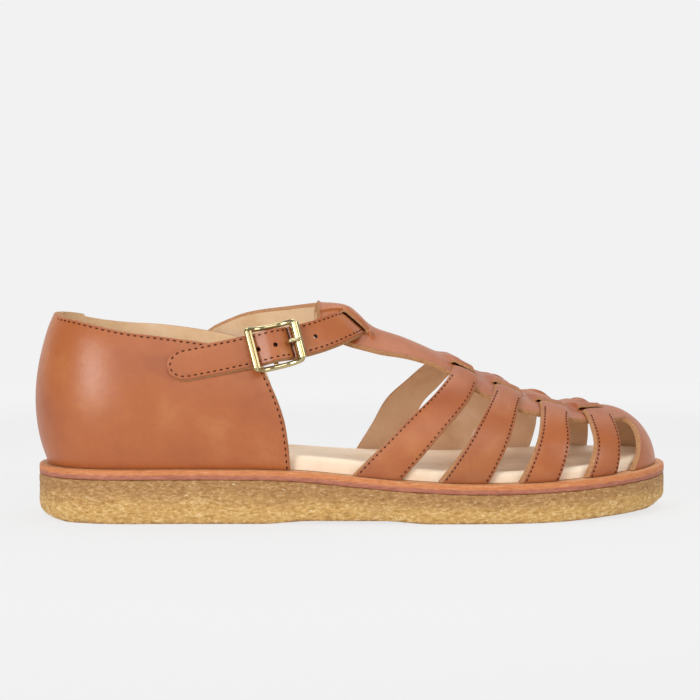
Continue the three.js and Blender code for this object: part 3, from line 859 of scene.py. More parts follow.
# Raw cut of two leather layers: beige and fibrous
EDGE = plain_look("raw_leather_edge", (0.8, 5.0, 0.7), [(0.30, "#8a5b38"), (0.52, "#ad7c52"), (0.75, "#cc9d70")],
                  0.12, Roughness=0.8, IOR=1.45)
CREAM = lining_leather("cream_lining", [(0.3, "#dab890"), (0.5, "#e6c9a4"), (0.7, "#eed8bb")])
FOOTBED = lining_leather("footbed_leather", [(0.3, "#ebd2b2"), (0.5, "#f3dfc5"), (0.7, "#f8ead8")])
SUEDE = lining_leather("strap_lining", [(0.3, "#cfa480"), (0.5, "#dab491"), (0.7, "#e3c3a6")], 0.8)
BOARD = midsole_leather()
CREPE = crepe_rubber()
# Pale brass, cast and tumble polished, with faint scratches
BRASS = plain_look("polished_brass", (14, 2.0, 0.5), [(0.3, "#b5a678"), (0.7, "#cabd92")], 0.002, (0.5, 3.0, 0.6),
                   Metallic=1.0, Roughness=0.16)
# Waxed polyester thread, twisted: dark brown, and tan for the bar tack
THREAD, TACK = (
    plain_look(name, (0.3, 2.0, 0.5), [(0.3, dark), (0.7, light)], 0.05, Roughness=0.9, IOR=1.3)
    for name, dark, light in (("waxed_thread", "#3a1a0c", "#5a2d17"), ("tan_thread", "#8a4f2c", "#ab6d42")))
# Dark brown for the walls of the punched holes: painted shade inside the holes
HOLE = finish("punched_hole_painted_shade", Base_Color=linear("#3a1d10"), Roughness=0.8, IOR=1.45)[0]

# Sole: rings around the edge, from the floor up
EDGE_STEPS = 320
BOARD_DROP = 0.7
HOLLOW = 1.3


def sole_ring(distance, height):
    """Points around the sole; distance and height are functions of the share of the length and the side."""
    u = np.arange(EDGE_STEPS + 1) / EDGE_STEPS
    back = u[-2:0:-1]
    side = np.concatenate([-np.ones_like(u), np.ones_like(back)])
    u = np.concatenate([u, back])
    share = share_at(u)
    away = distance(share) if callable(distance) else np.full_like(u, distance)
    return np.concatenate([inset(side, u, away), np.broadcast_to(height(share, side), u.shape)[:, None]], -1)


def stack(name, rings, rises, material):
    """Closed piece from rings of equal count, with the height share kept for the material."""
    count = len(rings[0])
    faces = ring_faces(len(rings), count)
    top = (len(rings) - 1) * count
    half = count // 2
    for i in range(half):
        a, b, c, d = i, i + 1, (count - i - 1) % count, (count - i) % count
        strip = [a, b, c, d] if a != d and b != c else ([a, b, c] if a == d else [a, b, d])
        faces.append(strip[::-1])
        faces.append([top + k for k in strip])
    rise = np.concatenate([np.full(count, value) for value in rises])
    return make_piece(name, np.concatenate(rings), faces, [material], attributes={"rise": rise}, sharp=50.0)


def wobble(ring, inner, amount, size):
    """Hand-cut unevenness: moves ring points in and out by soft noise."""
    out = unit(ring - inner)
    amounts = np.array([noise.noise(Vector(p) / size) for p in ring]) * amount
    return ring + out * amounts[:, None]


def crepe_sole():
    """Crepe layer: its lower edge is ground round at the heel and left ragged where it was cut."""
    rows = [(1.0, 0.0), (0.62, 0.04), (0.30, 0.12), (0.10, 0.20), (0.02, 0.28)]
    rows += [(0.0, share) for share in np.linspace(0.36, 0.93, 8)] + [(-0.12, 0.985), (-0.55, 1.0)]
    rings, rises = [], []
    for cut, rise in rows:
        def distance(share, cut=cut):
            heel = 1 - smooth(0.0, 0.05, share)
            toe = smooth(0.955, 0.998, share)
            return cut * (1.5 + 4.3 * heel + 4.4 * toe) if cut > 0 else np.full_like(share, -cut)

        def height(share, side, rise=rise):
            hollow = HOLLOW * band(0.34, 0.42, 0.53, 0.60, share) * (1 - rise) ** 3
            return spring(share) + (crepe_top(share) - BOARD_DROP - spring(share)) * rise + hollow
        ring = sole_ring(distance, height)
        if rise < 0.99:
            inner = sole_ring(lambda share: distance(share) + 1, height)
            ring = wobble(ring, inner, 0.30, 3.0)
        if 0 < rise < 0.15:
            ring[:, 2] += [0.5 * noise.noise(Vector(p) / 1.6) + 0.35 * noise.noise(Vector(p) / 5) for p in ring]
        rings.append(ring)
        rises.append(rise)
    return stack("crepe_outsole", rings, rises, CREPE)


def leather_midsole():
    rows = [(0.5, 0.0, 0.0), (0.12, 0.08, 0.08), (0.0, 0.3, 0.3), (0.0, 0.55, 0.55), (0.02, 0.8, 0.8),
            (0.14, 0.93, 0.93), (0.5, 1.0, 1.1), (1.4, 1.01, 1.4), (LEDGE + 2, 1.0, 1.5)]
    rings, rises = [], []
    for distance, rise, mark in rows:
        def height(share, side, rise=rise):
            low = crepe_top(share) + GAP * 0.4 - BOARD_DROP
            return low + (mid_top(share) - low) * rise
        ring = sole_ring(distance, height)
        if 0.05 < rise < 0.95:
            inner = sole_ring(distance + 1, height)
            ring = wobble(wobble(ring, inner, 0.16, 2.0), inner, 0.12, 0.8)
        rings.append(ring)
        rises.append(mark)
    return stack("leather_midsole", rings, rises, BOARD)


def footbed():
    """Padded footbed with a rolled edge, dished towards the middle."""
    edge, rolled = LEDGE + 1.4, 2.4
    angle = np.radians(np.linspace(0, 90, 7))
    rows = [(edge, 0.0, GAP * 0.5)]
    rows += [(edge + rolled * (1 - math.cos(a)), 1.0, rolled * (math.sin(a) - 1)) for a in angle]
    rows += [(edge + 5, 1.0, -INSOLE_DISH * 0.22), (edge + 9, 1.0, -INSOLE_DISH * 0.62),
             (edge + 13, 1.0, -INSOLE_DISH * 0.92), (edge + 18, 1.0, -INSOLE_DISH)]
    rings = []
    for distance, whole, rise in rows:
        def height(share, side, whole=whole, rise=rise):
            thick = INSOLE_THICKNESS * by_side(FOOTBED_RISE, side, share)
            return mid_top(share) + (GAP + thick) * whole + rise
        rings.append(sole_ring(distance, height))
    return stack("footbed", rings, [0] * len(rows), FOOTBED)


# Upper
def both_sides(w):
    return np.where(w < 0, -1.0, 1.0), 1 - np.abs(w)


STRAP_LIFT = 2 * LEATHER + 0.25
SLIT_ROOM = 1.1
# Painted shade laid over each woven strap as a whole, mostly on the second strap
PAINTED_STRAP_SHADE = {1: 0.03, 2: 0.13}
SEAM = 1.3
SEAM_DEPTH = 0.10
SEAM_SOFT = 0.5
FOLD_WIDTH = 12.4


def strap_lift(side, t):
    """Height of a strap's upper face over the last: up over the T-bar's margin, then down into the slit."""
    over = smooth(0.08, 0.60, t) * (1 - 1.25 * smooth(SLIT - 0.075, SLIT - 0.006, t))
    return LEATHER + (STRAP_LIFT - LEATHER) * over + strap_puff(side, t)


def strap_puff(side, t):
    """Slack of a strap just before its slit."""
    return np.where(side > 0, 2.4, 0.3) * band(0.56, 0.70, 0.71, SLIT - 0.004, t)


def woven_strap(number, rows):
    """One strap over both sides: lies on the T-bar's margin, then dives through its slit."""
    w = np.concatenate([np.linspace(-1, -0.30, 74), np.linspace(-0.295, -0.15, 36), np.linspace(-0.12, 0.12, 6),
                        np.linspace(0.15, 0.295, 36), np.linspace(0.30, 1, 74)])
    w, b = grid(w, edged(14, 0.03))
    side, t = both_sides(w)
    lead = lead_at(side, number, t)
    rear, front = along(rows, 1, t) + lead, along(rows, 2, t) + lead
    slant_rear = along(SLANT, number, t) / SOLE_LENGTH
    slant_front = along(SLANT, number + 4, t) / SOLE_LENGTH
    low = step_at(rear + (front - rear) * b)
    share = (rear + slant_rear) + (front - rear - slant_rear - slant_front) * b
    high = step_at(share)
    crown = 1 - (2 * b - 1) ** 4
    from_edge = np.minimum(b, 1 - b) * (front - rear) * SOLE_LENGTH
    seam = SEAM_DEPTH * hump(from_edge, SEAM, SEAM_SOFT) * (t < SLIT - 0.05)
    lift = strap_lift(side, t) - 0.75 * strap_puff(side, t) * (2 * b - 1) ** 2
    top = last_point(side, high, t, lift + 0.30 * (crown - 1) - seam)
    under = last_point(side, low, t, lift - LEATHER)
    # Painted shade: the strap as a whole, its foot by the sole and where it dives into the slit
    burnish = PAINTED_STRAP_SHADE.get(number, 0.0) + 0.12 * hump(t, 0, 0.07) + 0.10 * hump(t, SLIT, 0.07)
    return wall(f"woven_strap_{number}", top, under, [CALF, EDGE, SUEDE], burnish=burnish)


def strap_window(share, side):
    """1 where a woven strap passes through the slit, 0 between the straps."""
    found = np.zeros_like(share + side)
    for number, rows in enumerate(STRAPS, 1):
        lead = lead_at(side, number, SLIT)
        rear, front = along(rows, 1, SLIT) + lead, along(rows, 2, SLIT) + lead
        soft = np.where(side > 0, 0.006, 0.0)
        window = band(rear - 0.007 - soft, rear + 0.003 + soft, front - 0.003 - soft, front + 0.008 + soft, share)
        found = np.maximum(found, window)
    return found


def panel_rise(share, side, t):
    """How far the T-bar's middle stands off, over the woven straps and the ankle strap."""
    far = smooth(SLIT, 1.0, t)
    broad = band(0.655, 0.69, 0.93, 0.965, share)
    woven = strap_window(share, side) * (1 - far) + broad * far
    woven = woven * (1 - 0.6 * far)
    return (LEATHER + SLIT_ROOM) * woven + along(LOOP, 1, share) * (1 - far) + along(LOOP, 2, share) * far


def t_bar():
    """T-bar: margins under the woven straps, middle over them, slits between, loop for the ankle strap."""
    margin, panel = edged(9, 0.05), edged(12, 0.03)
    inward = np.concatenate([margin - 1, panel])[None, :]
    on_margin = np.arange(inward.shape[1])[None, :] < len(margin)
    share = np.linspace(BAR_END, BAR_FRONT, 420)
    share = np.concatenate([[BAR_END, BAR_END + 0.0008], share[1:-1], [BAR_FRONT]])[:, None]
    end = 1 - smooth(0.0, 0.010, share - BAR_END)
    outer = along(BAR, 1, share)
    halves = []
    for side in (-1.0, 1.0):
        window = strap_window(share, side)
        in_loop = band(LOOP_SLIT[0] - 0.006, LOOP_SLIT[0], LOOP_SLIT[1] - 0.004, LOOP_SLIT[1], share)
        cut = np.maximum(window, in_loop)
        sheets = []
        for slant_outer, slant_slit, whole in ((0.009, 0.007, 1.0), (0.0, 0.0, 0.0)):
            rim = outer + slant_outer
            start = SLIT + 0.002 + slant_slit * cut
            t = np.where(on_margin, (SLIT - 0.002) + (SLIT - 0.002 - rim) * inward, start + (1 - start) * inward)
            edge_rise = 0.8 * along(LOOP, 1, share) * (1 - in_loop) * smooth(SLIT - 0.07, SLIT, t)
            rise = np.where(on_margin, edge_rise, panel_rise(share, side, t))
            at = share + whole * end * 0.0035 * np.abs(1 - (share - BAR_END) / 0.010).clip(0, 1)
            skived = 1 - 0.5 * cut * whole * (1 - smooth(0.0, 0.035, t - start)) * ~on_margin
            sheets.append(last_point(side, step_at(at) + 0 * t, t, LEATHER * whole * skived + rise + 0.5 * end))
        open_row = (window[:, 0] > 0.45) | ((share[:, 0] > LOOP_SLIT[0]) & (share[:, 0] < LOOP_SLIT[1]))
        halves.append((sheets, open_row))
    (lateral, lateral_open), (medial, medial_open) = halves
    top = np.concatenate([lateral[0], medial[0][:, -2::-1]], axis=1)
    under = np.concatenate([lateral[1], medial[1][:, -2::-1]], axis=1)
    slits = np.zeros((top.shape[0] - 1, top.shape[1] - 1), bool)
    slits[:, len(margin) - 1] = lateral_open[1:]
    slits[:, top.shape[1] - 1 - len(margin)] = medial_open[1:]
    return wall("t_bar", top[::-1], under[::-1], [CALF, EDGE, SUEDE], slits=slits[::-1])


def toe_cap():
    """Closed toe: one sheet round the toe whose two halves meet along the ridge."""
    around = np.linspace(-1, 1, 141)
    around = np.concatenate([[-1, -0.992], around[1:-1], [0.992, 1]])
    t = np.concatenate([np.linspace(0, 0.94, 48), np.linspace(0.955, 1, 5)])
    around, t = grid(around, t)
    side = np.where(around < 0, -1.0, 1.0)
    edge = along(TOE_CAP, 1, t) + lead_at(side, 5, t)
    sheets = []
    for slant, lift in ((1.0, LEATHER), (0.0, 0.0)):
        rear = step_at(edge + slant * (1 - smooth(0.62, 0.80, t)) / SOLE_LENGTH)
        u = rear + (1 - rear) * (1 - np.abs(around))
        sheets.append(last_point(side, u, t, np.full_like(t, lift)))
    piece = wall("toe_cap", *sheets, [CALF, EDGE, SUEDE], rims=(True, True, True, False))
    merge_close(piece)
    return piece


def quarter_wall():
    """Heel wall with its cream lining and cut front edges; a heel tab stands a little over the collar."""
    a, b = grid(edged(190, 0.005), edged(40, 0.012))
    w = 2 * a - 1
    side = np.where(w < 0, -1.0, 1.0)
    front = along(FRONT_EDGE, 1, b)
    sheets = []
    for slant, lift in ((0.3, LEATHER), (0.0, 0.0)):
        u = np.abs(w) * step_at(front - slant / SOLE_LENGTH * smooth(0.9, 1.0, np.abs(w)))
        sheets.append(heel_wall(side, u, b, lift))
    share = share_at(np.abs(w) * step_at(front))
    tab = 0.9 * np.where(side > 0, 1 - smooth(0.052, 0.055, share), 1 - smooth(0.0, 0.02, share))
    for sheet in sheets:
        sheet[..., 2] += tab * smooth(0.8, 1.0, b)
    return wall("quarter", soften_edges(*sheets, sides=(False, False, False, True)), sheets[1], [CALF, EDGE, CREAM])


def strap_steps():
    """Steps along the ankle strap, closer together round its tip."""
    v = np.linspace(0, 1, 420)
    return np.concatenate([v[v < TIP_START], 1 - (1 - TIP_START) * (1 - np.sin(np.linspace(0, np.pi / 2, 24)))])


def ankle_strap():
    """Strap of two layers with a rounded tip, creased where it bends over the buckle's bar."""
    v, b = grid(strap_steps(), edged(14, 0.03))
    across = 2 * b - 1
    half = STRAP_THICKNESS / 2
    from_edge = np.minimum(b, 1 - b) * STRAP_WIDTH
    fall = 0.16 * (1 - across ** 4) - SEAM_DEPTH * hump(from_edge, SEAM, SEAM_SOFT)
    slant = 0.7 / (STRAP_WIDTH / 2)
    top = strap_point(v, across - slant * smooth(0.0, 1.0, across), half - 0.1 + fall)
    under = strap_point(v, across + slant * 1.3 * smooth(0.0, 1.0, -across), np.full_like(v, -half))
    distance = (top - SEAT_CENTRE) @ TO_INSTEP
    # Painted shade along the crease where the strap bends over the buckle's bar
    burnish = hump(distance, CREASE_AT, 0.55) * (top[..., 1] < 0)
    return wall("ankle_strap", soften_edges(top, under), under, [CALF, EDGE, CREAM], burnish=burnish)


def punch(piece, places, radius):
    """Cuts round holes through the ankle strap at shares of its length."""
    cutters = []
    for v in places:
        centre, forward, down, out = strap_frame(np.array(v))
        angle = np.arange(20) * 2 * np.pi / 20
        ring = centre + radius * (np.cos(angle)[:, None] * forward + np.sin(angle)[:, None] * down)
        points = np.concatenate([ring - 5 * out, ring + 6 * out])
        faces = [[k, (k + 1) % 20, 20 + (k + 1) % 20, 20 + k] for k in range(20)]
        cutters.append((points, faces + [list(range(20))[::-1], list(range(20, 40))]))
    cutter = make_piece("punch", *join_parts(cutters), [HOLE])
    cut = piece.modifiers.new("punch", "BOOLEAN")
    cut.operation = "DIFFERENCE"
    cut.solver = "EXACT"
    cut.object = cutter
    if hasattr(cut, "material_mode"):
        cut.material_mode = "TRANSFER"
    graph = bpy.context.evaluated_depsgraph_get()
    mesh = bpy.data.meshes.new_from_object(piece.evaluated_get(graph))
    piece.modifiers.remove(cut)
    piece.data = mesh
    mesh.name = piece.name
    bpy.data.objects.remove(cutter)
    return piece


def buckle_tab():
    """Tab that holds the buckle: folded round the centre bar and sewn to the quarter."""
    v, b = grid(np.linspace(BUCKLE_AT + 0.008, 0.93, 40), edged(8, 0.05))
    centre, _, down, out = strap_frame(v)
    lift = -STRAP_THICKNESS / 2 - GAP - TAB_DROP
    top = centre + down * ((2 * b - 1) * TAB_WIDTH / 2)[..., None] + out * lift
    under = top - out * LEATHER
    return wall("buckle_tab", soften_edges(top, under), under, [CALF, EDGE, CREAM])


def tab_fold():
    """The tab's fold round the buckle's centre bar."""
    inner = BAR_RADIUS + GAP
    profile = [(inner, -0.5), (inner + LOOP_WALL, -0.5), (inner + LOOP_WALL, 0.5), (inner, 0.5)]
    ring = turned([(r, y * FOLD_WIDTH) for r, y in profile], 28, 0.0, CENTRE_DROP)
    return buckle_piece("buckle_tab_fold", ring, material=CALF)


def turned(profile, sides, x, z):
    """Ring-shaped part turned from (radius, place across) points, in the buckle's own axes."""
    angle = np.arange(sides) * 2 * np.pi / sides
    points = [[x + r * math.cos(a), y, z + r * math.sin(a)] for r, y in profile for a in angle]
    return np.array(points), [face[::-1] for face in ring_faces(len(profile), sides, True)]


def local(points):
    """Buckle axes (to the instep, up the width, outward) into the sandal's own."""
    basis = np.stack([TO_INSTEP, UP_WIDTH, SEAT_OUT])
    return np.asarray(points) @ basis + SEAT_CENTRE


def buckle_piece(name, *parts, material=BRASS):
    points, faces = join_parts(parts)
    return make_piece(name, local(points), faces, [material])


def bow_at(x):
    return CENTRE_DROP + (END_RISE - CENTRE_DROP) * (x / BAR_SPAN) ** 2


def buckle_frame():
    """Cast brass frame: crisp corners, broad rear bar, front bar inside the roller."""
    corner = 1.1
    span_x, span_y = BAR_SPAN + 0.1, SIDE_SPAN + 0.35
    segments = []
    for cx, cy, start in ((1, 1, 0), (-1, 1, 90), (-1, -1, 180), (1, -1, 270)):
        angle = np.radians(start + np.linspace(0, 90, 9))
        segments.append(np.stack([cx * (span_x - corner) + corner * np.cos(angle),
                                  cy * (span_y - corner) + corner * np.sin(angle)], -1))
    loop = []
    for k in range(4):
        here, after = segments[k], segments[(k + 1) % 4]
        loop.append(here)
        s = np.linspace(0, 1, 18)[1:-1, None]
        loop.append(here[-1] * (1 - s) + after[0] * s)
    flat = np.concatenate(loop)
    flat[:, 1] *= 1 - 0.022 * flat[:, 0] / BAR_SPAN
    flat[:, 0] += 1.0 * smooth(3, BAR_SPAN, flat[:, 0]) - 0.8 * smooth(BAR_SPAN - 3, BAR_SPAN - 0.3, -flat[:, 0])
    lift = 1.1 * (1 - smooth(0.0, BAR_SPAN, np.abs(flat[:, :1])))
    path = np.concatenate([flat, bow_at(flat[:, :1]) + 0.15 + lift], -1)
    run = unit(np.roll(path, -1, 0) - np.roll(path, 1, 0))
    side = unit(np.cross(run, [0, 0, 1.0]))
    up = np.cross(side, run)
    rear = smooth(BAR_SPAN - 1.6, BAR_SPAN - 0.3, -flat[:, 0])
    fore = smooth(BAR_SPAN - 2.0, BAR_SPAN - 0.6, flat[:, 0])
    widths = 1.10 - 0.08 * rear - 0.10 * fore
    heights = 1.05 + 0.10 * rear - 0.05 * fore
    ring = tube(path, side, up, widths, heights, 24, True, 0.85)
    y = np.linspace(-SIDE_SPAN, SIDE_SPAN, 12)
    bar = np.stack([0 * y, y, CENTRE_DROP + 0 * y], -1)
    ones = np.ones_like(y)
    across, up = np.tile([1.0, 0, 0], (12, 1)), np.tile([0, 0, 1.0], (12, 1))
    centre = tube(bar, across, up, ones * 0.95, ones * 0.95, 14)
    ridge = np.stack([0 * y - BAR_SPAN + 0.75, y, bow_at(0 * y + BAR_SPAN - 0.75) + 0.25], -1)
    second = tube(ridge, across, up, ones * 0.98, ones, 20)
    return buckle_piece("brass_buckle_frame", ring, centre, second)


def roller():
    half, radius = SIDE_SPAN - 0.7, ROLLER_SHOWN
    profile = [(BAR_RADIUS + GAP, -half), (radius - 0.12, -half), (radius, -half + 0.15)]
    profile += [(radius, y) for y in np.linspace(-half + 1, half - 1, 8)]
    profile += [(radius, half - 0.15), (radius - 0.12, half), (BAR_RADIUS + GAP, half)]
    return buckle_piece("brass_roller", turned(profile, 40, BAR_SPAN + ROLLER_OUT, END_RISE + ROLLER_UP))


def prong():
    over = END_RISE + ROLLER_UP + ROLLER_SHOWN + PRONG_RADIUS * 0.7
    keys = np.array([
        [1.2, CENTRE_DROP + 1.0], [3.4, CENTRE_DROP + 1.3], [5.4, END_RISE - 1.4],
        [6.3, over - 0.9], [7.6, over - 0.05], [BAR_SPAN + 2 * ROLLER_OUT, over - 0.1],
    ])
    s = np.linspace(0, 1, 40)
    keys = np.column_stack([np.linspace(0, 1, len(keys)), keys])
    path = np.stack([along(keys, 1, s), 0 * s, along(keys, 2, s)], -1)
    run = unit(np.gradient(path, axis=0))
    side = np.tile([0, 1.0, 0], (len(s), 1))
    up = np.cross(run, side)
    taper = PRONG_RADIUS * np.sqrt(np.clip(1 - ((s - 0.95) / 0.0505).clip(0, 1) ** 2, 0.02, 1))
    shaft = tube(path, side, up, taper * 0.9, taper * 0.8, 16, False, 0.75)
    inner, outer, half = BAR_RADIUS + GAP * 0.5, BAR_RADIUS + GAP + LOOP_WALL * 0.85, PRONG_RADIUS
    profile = [(inner, -half), (outer - 0.2, -half), (outer, -half + 0.2)]
    profile += [(outer, half - 0.2), (outer - 0.2, half), (inner, half)]
    return buckle_piece("brass_prong", shaft, turned(profile, 24, 0.0, CENTRE_DROP))


# Stitches: dashes of thread along paths on the leather
def stitch_tree():
    """Node group that lays a small bead along the paths at every pitch, turned to the path and the leather."""
    tree = bpy.data.node_groups.new("stitches_along_paths", "GeometryNodeTree")
    tree.is_modifier = True
    for name, way, kind in (("Paths", "INPUT", "Geometry"), ("Pitch", "INPUT", "Float"), ("Length", "INPUT", "Float"),
                            ("Width", "INPUT", "Float"), ("Height", "INPUT", "Float"),
                            ("Thread", "INPUT", "Material"), ("Stitches", "OUTPUT", "Geometry")):
        tree.interface.new_socket(name, in_out=way, socket_type="NodeSocket" + kind)
    given = add(tree, "NodeGroupInput").outputs
    curve = out_of(tree, "GeometryNodeMeshToCurve", "Curve", {"Mesh": given["Paths"]})
    points = out_of(tree, "GeometryNodeResampleCurve", "Curve", {"Curve": curve, "Length": given["Pitch"]},
                    mode="LENGTH")
    tangent = out_of(tree, "GeometryNodeInputTangent", "Tangent")
    normal = out_of(tree, "GeometryNodeInputNamedAttribute", "Attribute", {"Name": "stand"}, data_type="FLOAT_VECTOR")
    first = out_of(tree, "FunctionNodeAlignRotationToVector", "Rotation", {"Vector": tangent}, axis="X")
    second = out_of(tree, "FunctionNodeAlignRotationToVector", "Rotation", {"Rotation": first, "Vector": normal},
                    axis="Z", pivot_axis="X")
    bead = out_of(tree, "GeometryNodeMeshUVSphere", "Mesh", {"Segments": 8, "Rings": 5, "Radius": 0.5})
    size = out_of(tree, "ShaderNodeCombineXYZ", "Vector",
                  {"X": given["Length"], "Y": given["Width"], "Z": given["Height"]})
    laid = out_of(tree, "GeometryNodeInstanceOnPoints", "Instances",
                  {"Points": points, "Instance": bead, "Rotation": second, "Scale": size})
    real = out_of(tree, "GeometryNodeRealizeInstances", "Geometry", {"Geometry": laid})
    soft = out_of(tree, "GeometryNodeSetShadeSmooth", "Geometry", {"Geometry": real})
    done = out_of(tree, "GeometryNodeSetMaterial", "Geometry", {"Geometry": soft, "Material": given["Thread"]})
    add(tree, "NodeGroupOutput", {"Stitches": done})
    return tree


STITCHES = stitch_tree()


def stitching(name, paths, pitch=2.5, length=1.2, width=0.68, height=0.46, thread=None):
    """Rows of stitches along paths, each a pair of points and outward directions in millimetres."""
    points, edges, stands = [], [], []
    for line, stand in paths:
        start = len(points)
        points += placed(line + stand * 0.06).tolist()
        stands += stand.tolist()
        edges += [[start + k, start + k + 1] for k in range(len(line) - 1)]
    mesh = bpy.data.meshes.new(name + "_paths")
    mesh.from_pydata(points, edges, [])
    layer = mesh.attributes.new("stand", "FLOAT_VECTOR", "POINT")
    layer.data.foreach_set("vector", np.asarray(stands, np.float32).ravel())
    source = linked(name + "_paths", mesh)
    modifier = source.modifiers.new("stitches", "NODES")
    modifier.node_group = STITCHES
    values = {"Thread": thread or THREAD}
    for key, size in (("Pitch", pitch), ("Length", length), ("Width", width), ("Height", height)):
        values[key] = size * 0.001
    for item in STITCHES.interface.items_tree:
        if item.in_out == "INPUT" and item.name in values:
            modifier[item.identifier] = values[item.name]
    graph = bpy.context.evaluated_depsgraph_get()
    made = bpy.data.meshes.new_from_object(source.evaluated_get(graph))
    bpy.data.objects.remove(source)
    made.name = name
    return linked(name, made)


def strap_rows(number, rows):
    """Stitch paths along both edges of one woven strap, on both sides of the foot."""
    paths = []
    t = np.linspace(0.02, SLIT - 0.19, 70)
    for side in (-1.0, 1.0):
        lead = lead_at(side, number, t)
        for column, inward in ((1, 1.0), (2, -1.0)):
            slant = along(SLANT, number if column == 1 else number + 4, t)
            share = along(rows, column, t) + lead + inward * (slant + 1.0) / SOLE_LENGTH
            sides = np.full_like(t, side)
            u = step_at(share)
            paths.append((last_point(sides, u, t, strap_lift(sides, t) - 0.14), last_normal(sides, u, t)))
    return paths


def vamp_stitches():
    first = stitching("stitches_strap_1", strap_rows(1, STRAPS[0]), 2.35)
    paths = []
    for number, rows in enumerate(STRAPS[1:], 2):
        paths += strap_rows(number, rows)
    # Bar tack at the front end of the loop's slit
    tack = []
    for share in (0.5295, 0.5345):
        t = np.linspace(SLIT - 0.012, SLIT + 0.014, 3)
        u = np.full_like(t, step_at(share))
        sides = -np.ones_like(t)
        lift = LEATHER + along(LOOP, 1, np.array(share)) + 0.1
        tack.append((last_point(sides, u, t, lift), last_normal(sides, u, t)))
    rest = stitching("stitches_vamp", paths, 1.95)
    return first, rest, stitching("bar_tack", tack, 1.2, 0.9, 0.5, 0.3, TACK)


def wall_row(side, share, h):
    """Stitch path on the heel wall through points given by share of the length and of the height."""
    u = step_at(share)
    sides = np.full_like(u, side)
    line = heel_wall(sides, u, h, LEATHER)
    return line, unit(heel_wall(sides, u, h, LEATHER + 1) - line)


def quarter_stitches():
    paths = []
    for side in (-1.0, 1.0):
        share = np.linspace(0.003, 0.40, 160)
        share = share[share < along(FRONT_EDGE, 1, 0.98) - 0.008]
        paths.append(wall_row(side, share, np.full_like(share, 0.984)))
        h = np.linspace(0.02, 0.97, 60)
        paths.append(wall_row(side, along(FRONT_EDGE, 1, h) - (SEAM + 0.1) / SOLE_LENGTH, h))
    # Both edges of the ankle strap and round its tip
    v = np.linspace(0.08, TIP_START, 300)
    upper, lower = 1 - 2 * SEAM / STRAP_WIDTH, 1 - 2 * (SEAM + 0.7) / STRAP_WIDTH
    tip_angle = np.linspace(-np.pi / 2, np.pi / 2, 30)[1:-1]
    tip_v = TIP_START + (1 - TIP_START) * 0.84 * np.cos(tip_angle)
    for_tip = np.where(tip_angle < 0, upper, lower) * np.sin(tip_angle)
    line_v = np.concatenate([v, tip_v, v[::-1]])
    across = np.concatenate([np.full_like(v, -upper), for_tip, np.full_like(v, lower)])
    outward_at = strap_frame(line_v)[3]
    flat = np.clip((line_v - TIP_START) / (1 - TIP_START), 0, 1)
    across = across / np.sqrt(1 - TIP_POINT * flat * flat)
    line = strap_point(line_v, across, np.full_like(line_v, STRAP_THICKNESS / 2 - 0.08))
    paths.append((line, outward_at))
    return stitching("stitches_quarter", paths, 2.75, 1.6, 0.74)


# Shares of the ankle strap where its holes are punched
HOLES_AT = (0.7805, 0.7437, 0.6387)

UPPER = "upper_leather"
first_stitches, other_stitches, bar_tack = vamp_stitches()
pieces = [
    (crepe_sole(), "crepe", "outsole"),
    (leather_midsole(), "midsole_leather", "midsole"),
    (footbed(), "lining_leather", "insole"),
    (t_bar(), UPPER, "vamp"),
    (toe_cap(), UPPER),
    (quarter_wall(), UPPER, "quarter"),
    (punch(ankle_strap(), HOLES_AT, 0.95), UPPER),
    (buckle_tab(), UPPER),
    (tab_fold(), UPPER),
    (first_stitches, UPPER),
    (other_stitches, UPPER),
    (bar_tack, UPPER),
    (buckle_frame(), "buckle_brass", "buckle_frame"),
    (roller(), "buckle_brass", "buckle_roller"),
    (prong(), "buckle_brass", "buckle_prong"),
    (quarter_stitches(), UPPER),
]
pieces += [(woven_strap(number, rows), UPPER) for number, rows in enumerate(STRAPS, 1)]
for piece, slot_name, *nodes in pieces:
    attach(piece, "root")
    if nodes:
        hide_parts(*nodes)


# Studio: pale floor that runs up behind, broad soft lights
CARD_GLOW = 0.888
CARD_GREY = "#606060"
CARD_LIT = 0.139
CARD_NEAR, CARD_FAR = 0.25, 0.75
BEND_AT, BEND = 2.0, 1.5
CARD_DROP = 0.00005
WORLD_LIGHT = 0.35


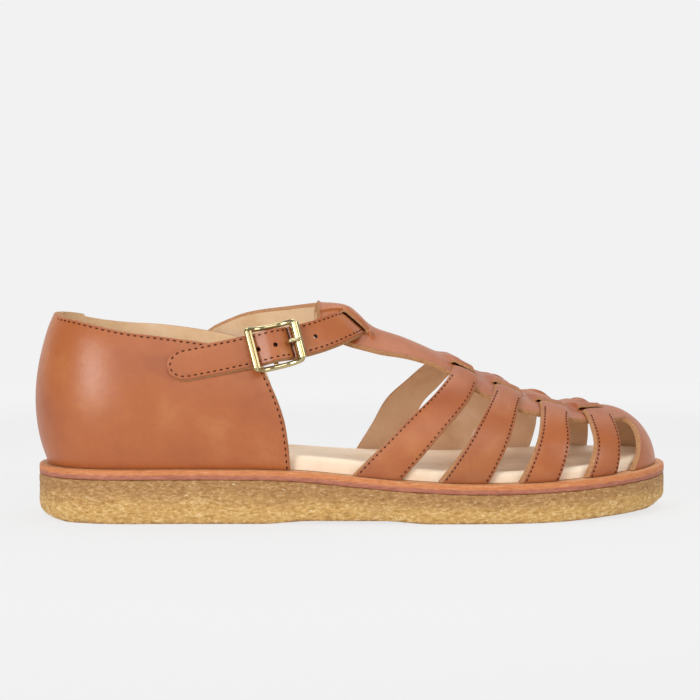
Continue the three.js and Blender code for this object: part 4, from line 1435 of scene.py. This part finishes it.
def studio_floor():
    """Pale card that runs up behind; it takes a faint shadow near the sandal only."""
    made, tree, shader = finish("pale_studio_card", Roughness=0.95, Specular_IOR_Level=0.0)
    away = out_of(tree, "ShaderNodeVectorMath", "Value", {0: object_coords(tree)}, operation="LENGTH")
    near = reach(tree, away, CARD_NEAR, CARD_FAR, 1.0, 0.0)
    tree.links.new(mix(tree, near, "#000000", CARD_GREY), shader.inputs["Base Color"])
    shader.inputs["Emission Color"].default_value = (1, 1, 1, 1)
    glow = reach(tree, near, 0.0, 1.0, CARD_GLOW, CARD_GLOW - CARD_LIT)
    tree.links.new(glow, shader.inputs["Emission Strength"])
    bend = np.linspace(0.1, math.pi / 2, 12)
    profile = [(-6.0, 0.0), (BEND_AT, 0.0)]
    profile += [(BEND_AT + BEND * math.sin(a), BEND - BEND * math.cos(a)) for a in bend]
    profile += [(BEND_AT + BEND, 6.0)]
    points = [[x, y, z - CARD_DROP] for y, z in profile for x in (-6, 6)]
    faces = [[k, k + 1, k + 3, k + 2] for k in range(0, len(points) - 2, 2)]
    mesh = bpy.data.meshes.new("studio_floor")
    mesh.from_pydata(points, [], faces)
    mesh.materials.append(made)
    linked("studio_floor", mesh)


def soft_light(name, place, target, size, power):
    data = bpy.data.lights.new(name, "AREA")
    data.shape = "RECTANGLE"
    data.size, data.size_y = size
    data.energy = power
    light = linked(name, data)
    light.location = place
    light.rotation_euler = (Vector(target) - Vector(place)).to_track_quat("-Z", "Y").to_euler()


studio_floor()
soft_light("top_light", (0.0, 0.25, 1.4), (0, 0, 0.03), (1.4, 1.0), 10)
soft_light("left_light", (-0.88, -1.18, 0.46), (-0.05, 0, 0.06), (0.5, 0.55), 12.5)
soft_light("front_light", (0.15, -1.25, 0.95), (0, 0, 0.04), (0.8, 0.7), 4.6)
soft_light("right_light", (1.2, -0.7, 0.6), (0, 0, 0.05), (0.7, 0.7), 5)
world = bpy.data.worlds.new("studio")
world.use_nodes = True
background = world.node_tree.nodes["Background"].inputs
background["Color"].default_value = linear("#e8e8e8")
background["Strength"].default_value = WORLD_LIGHT
bpy.context.scene.world = world
bpy.context.scene.view_settings.view_transform = "Standard"
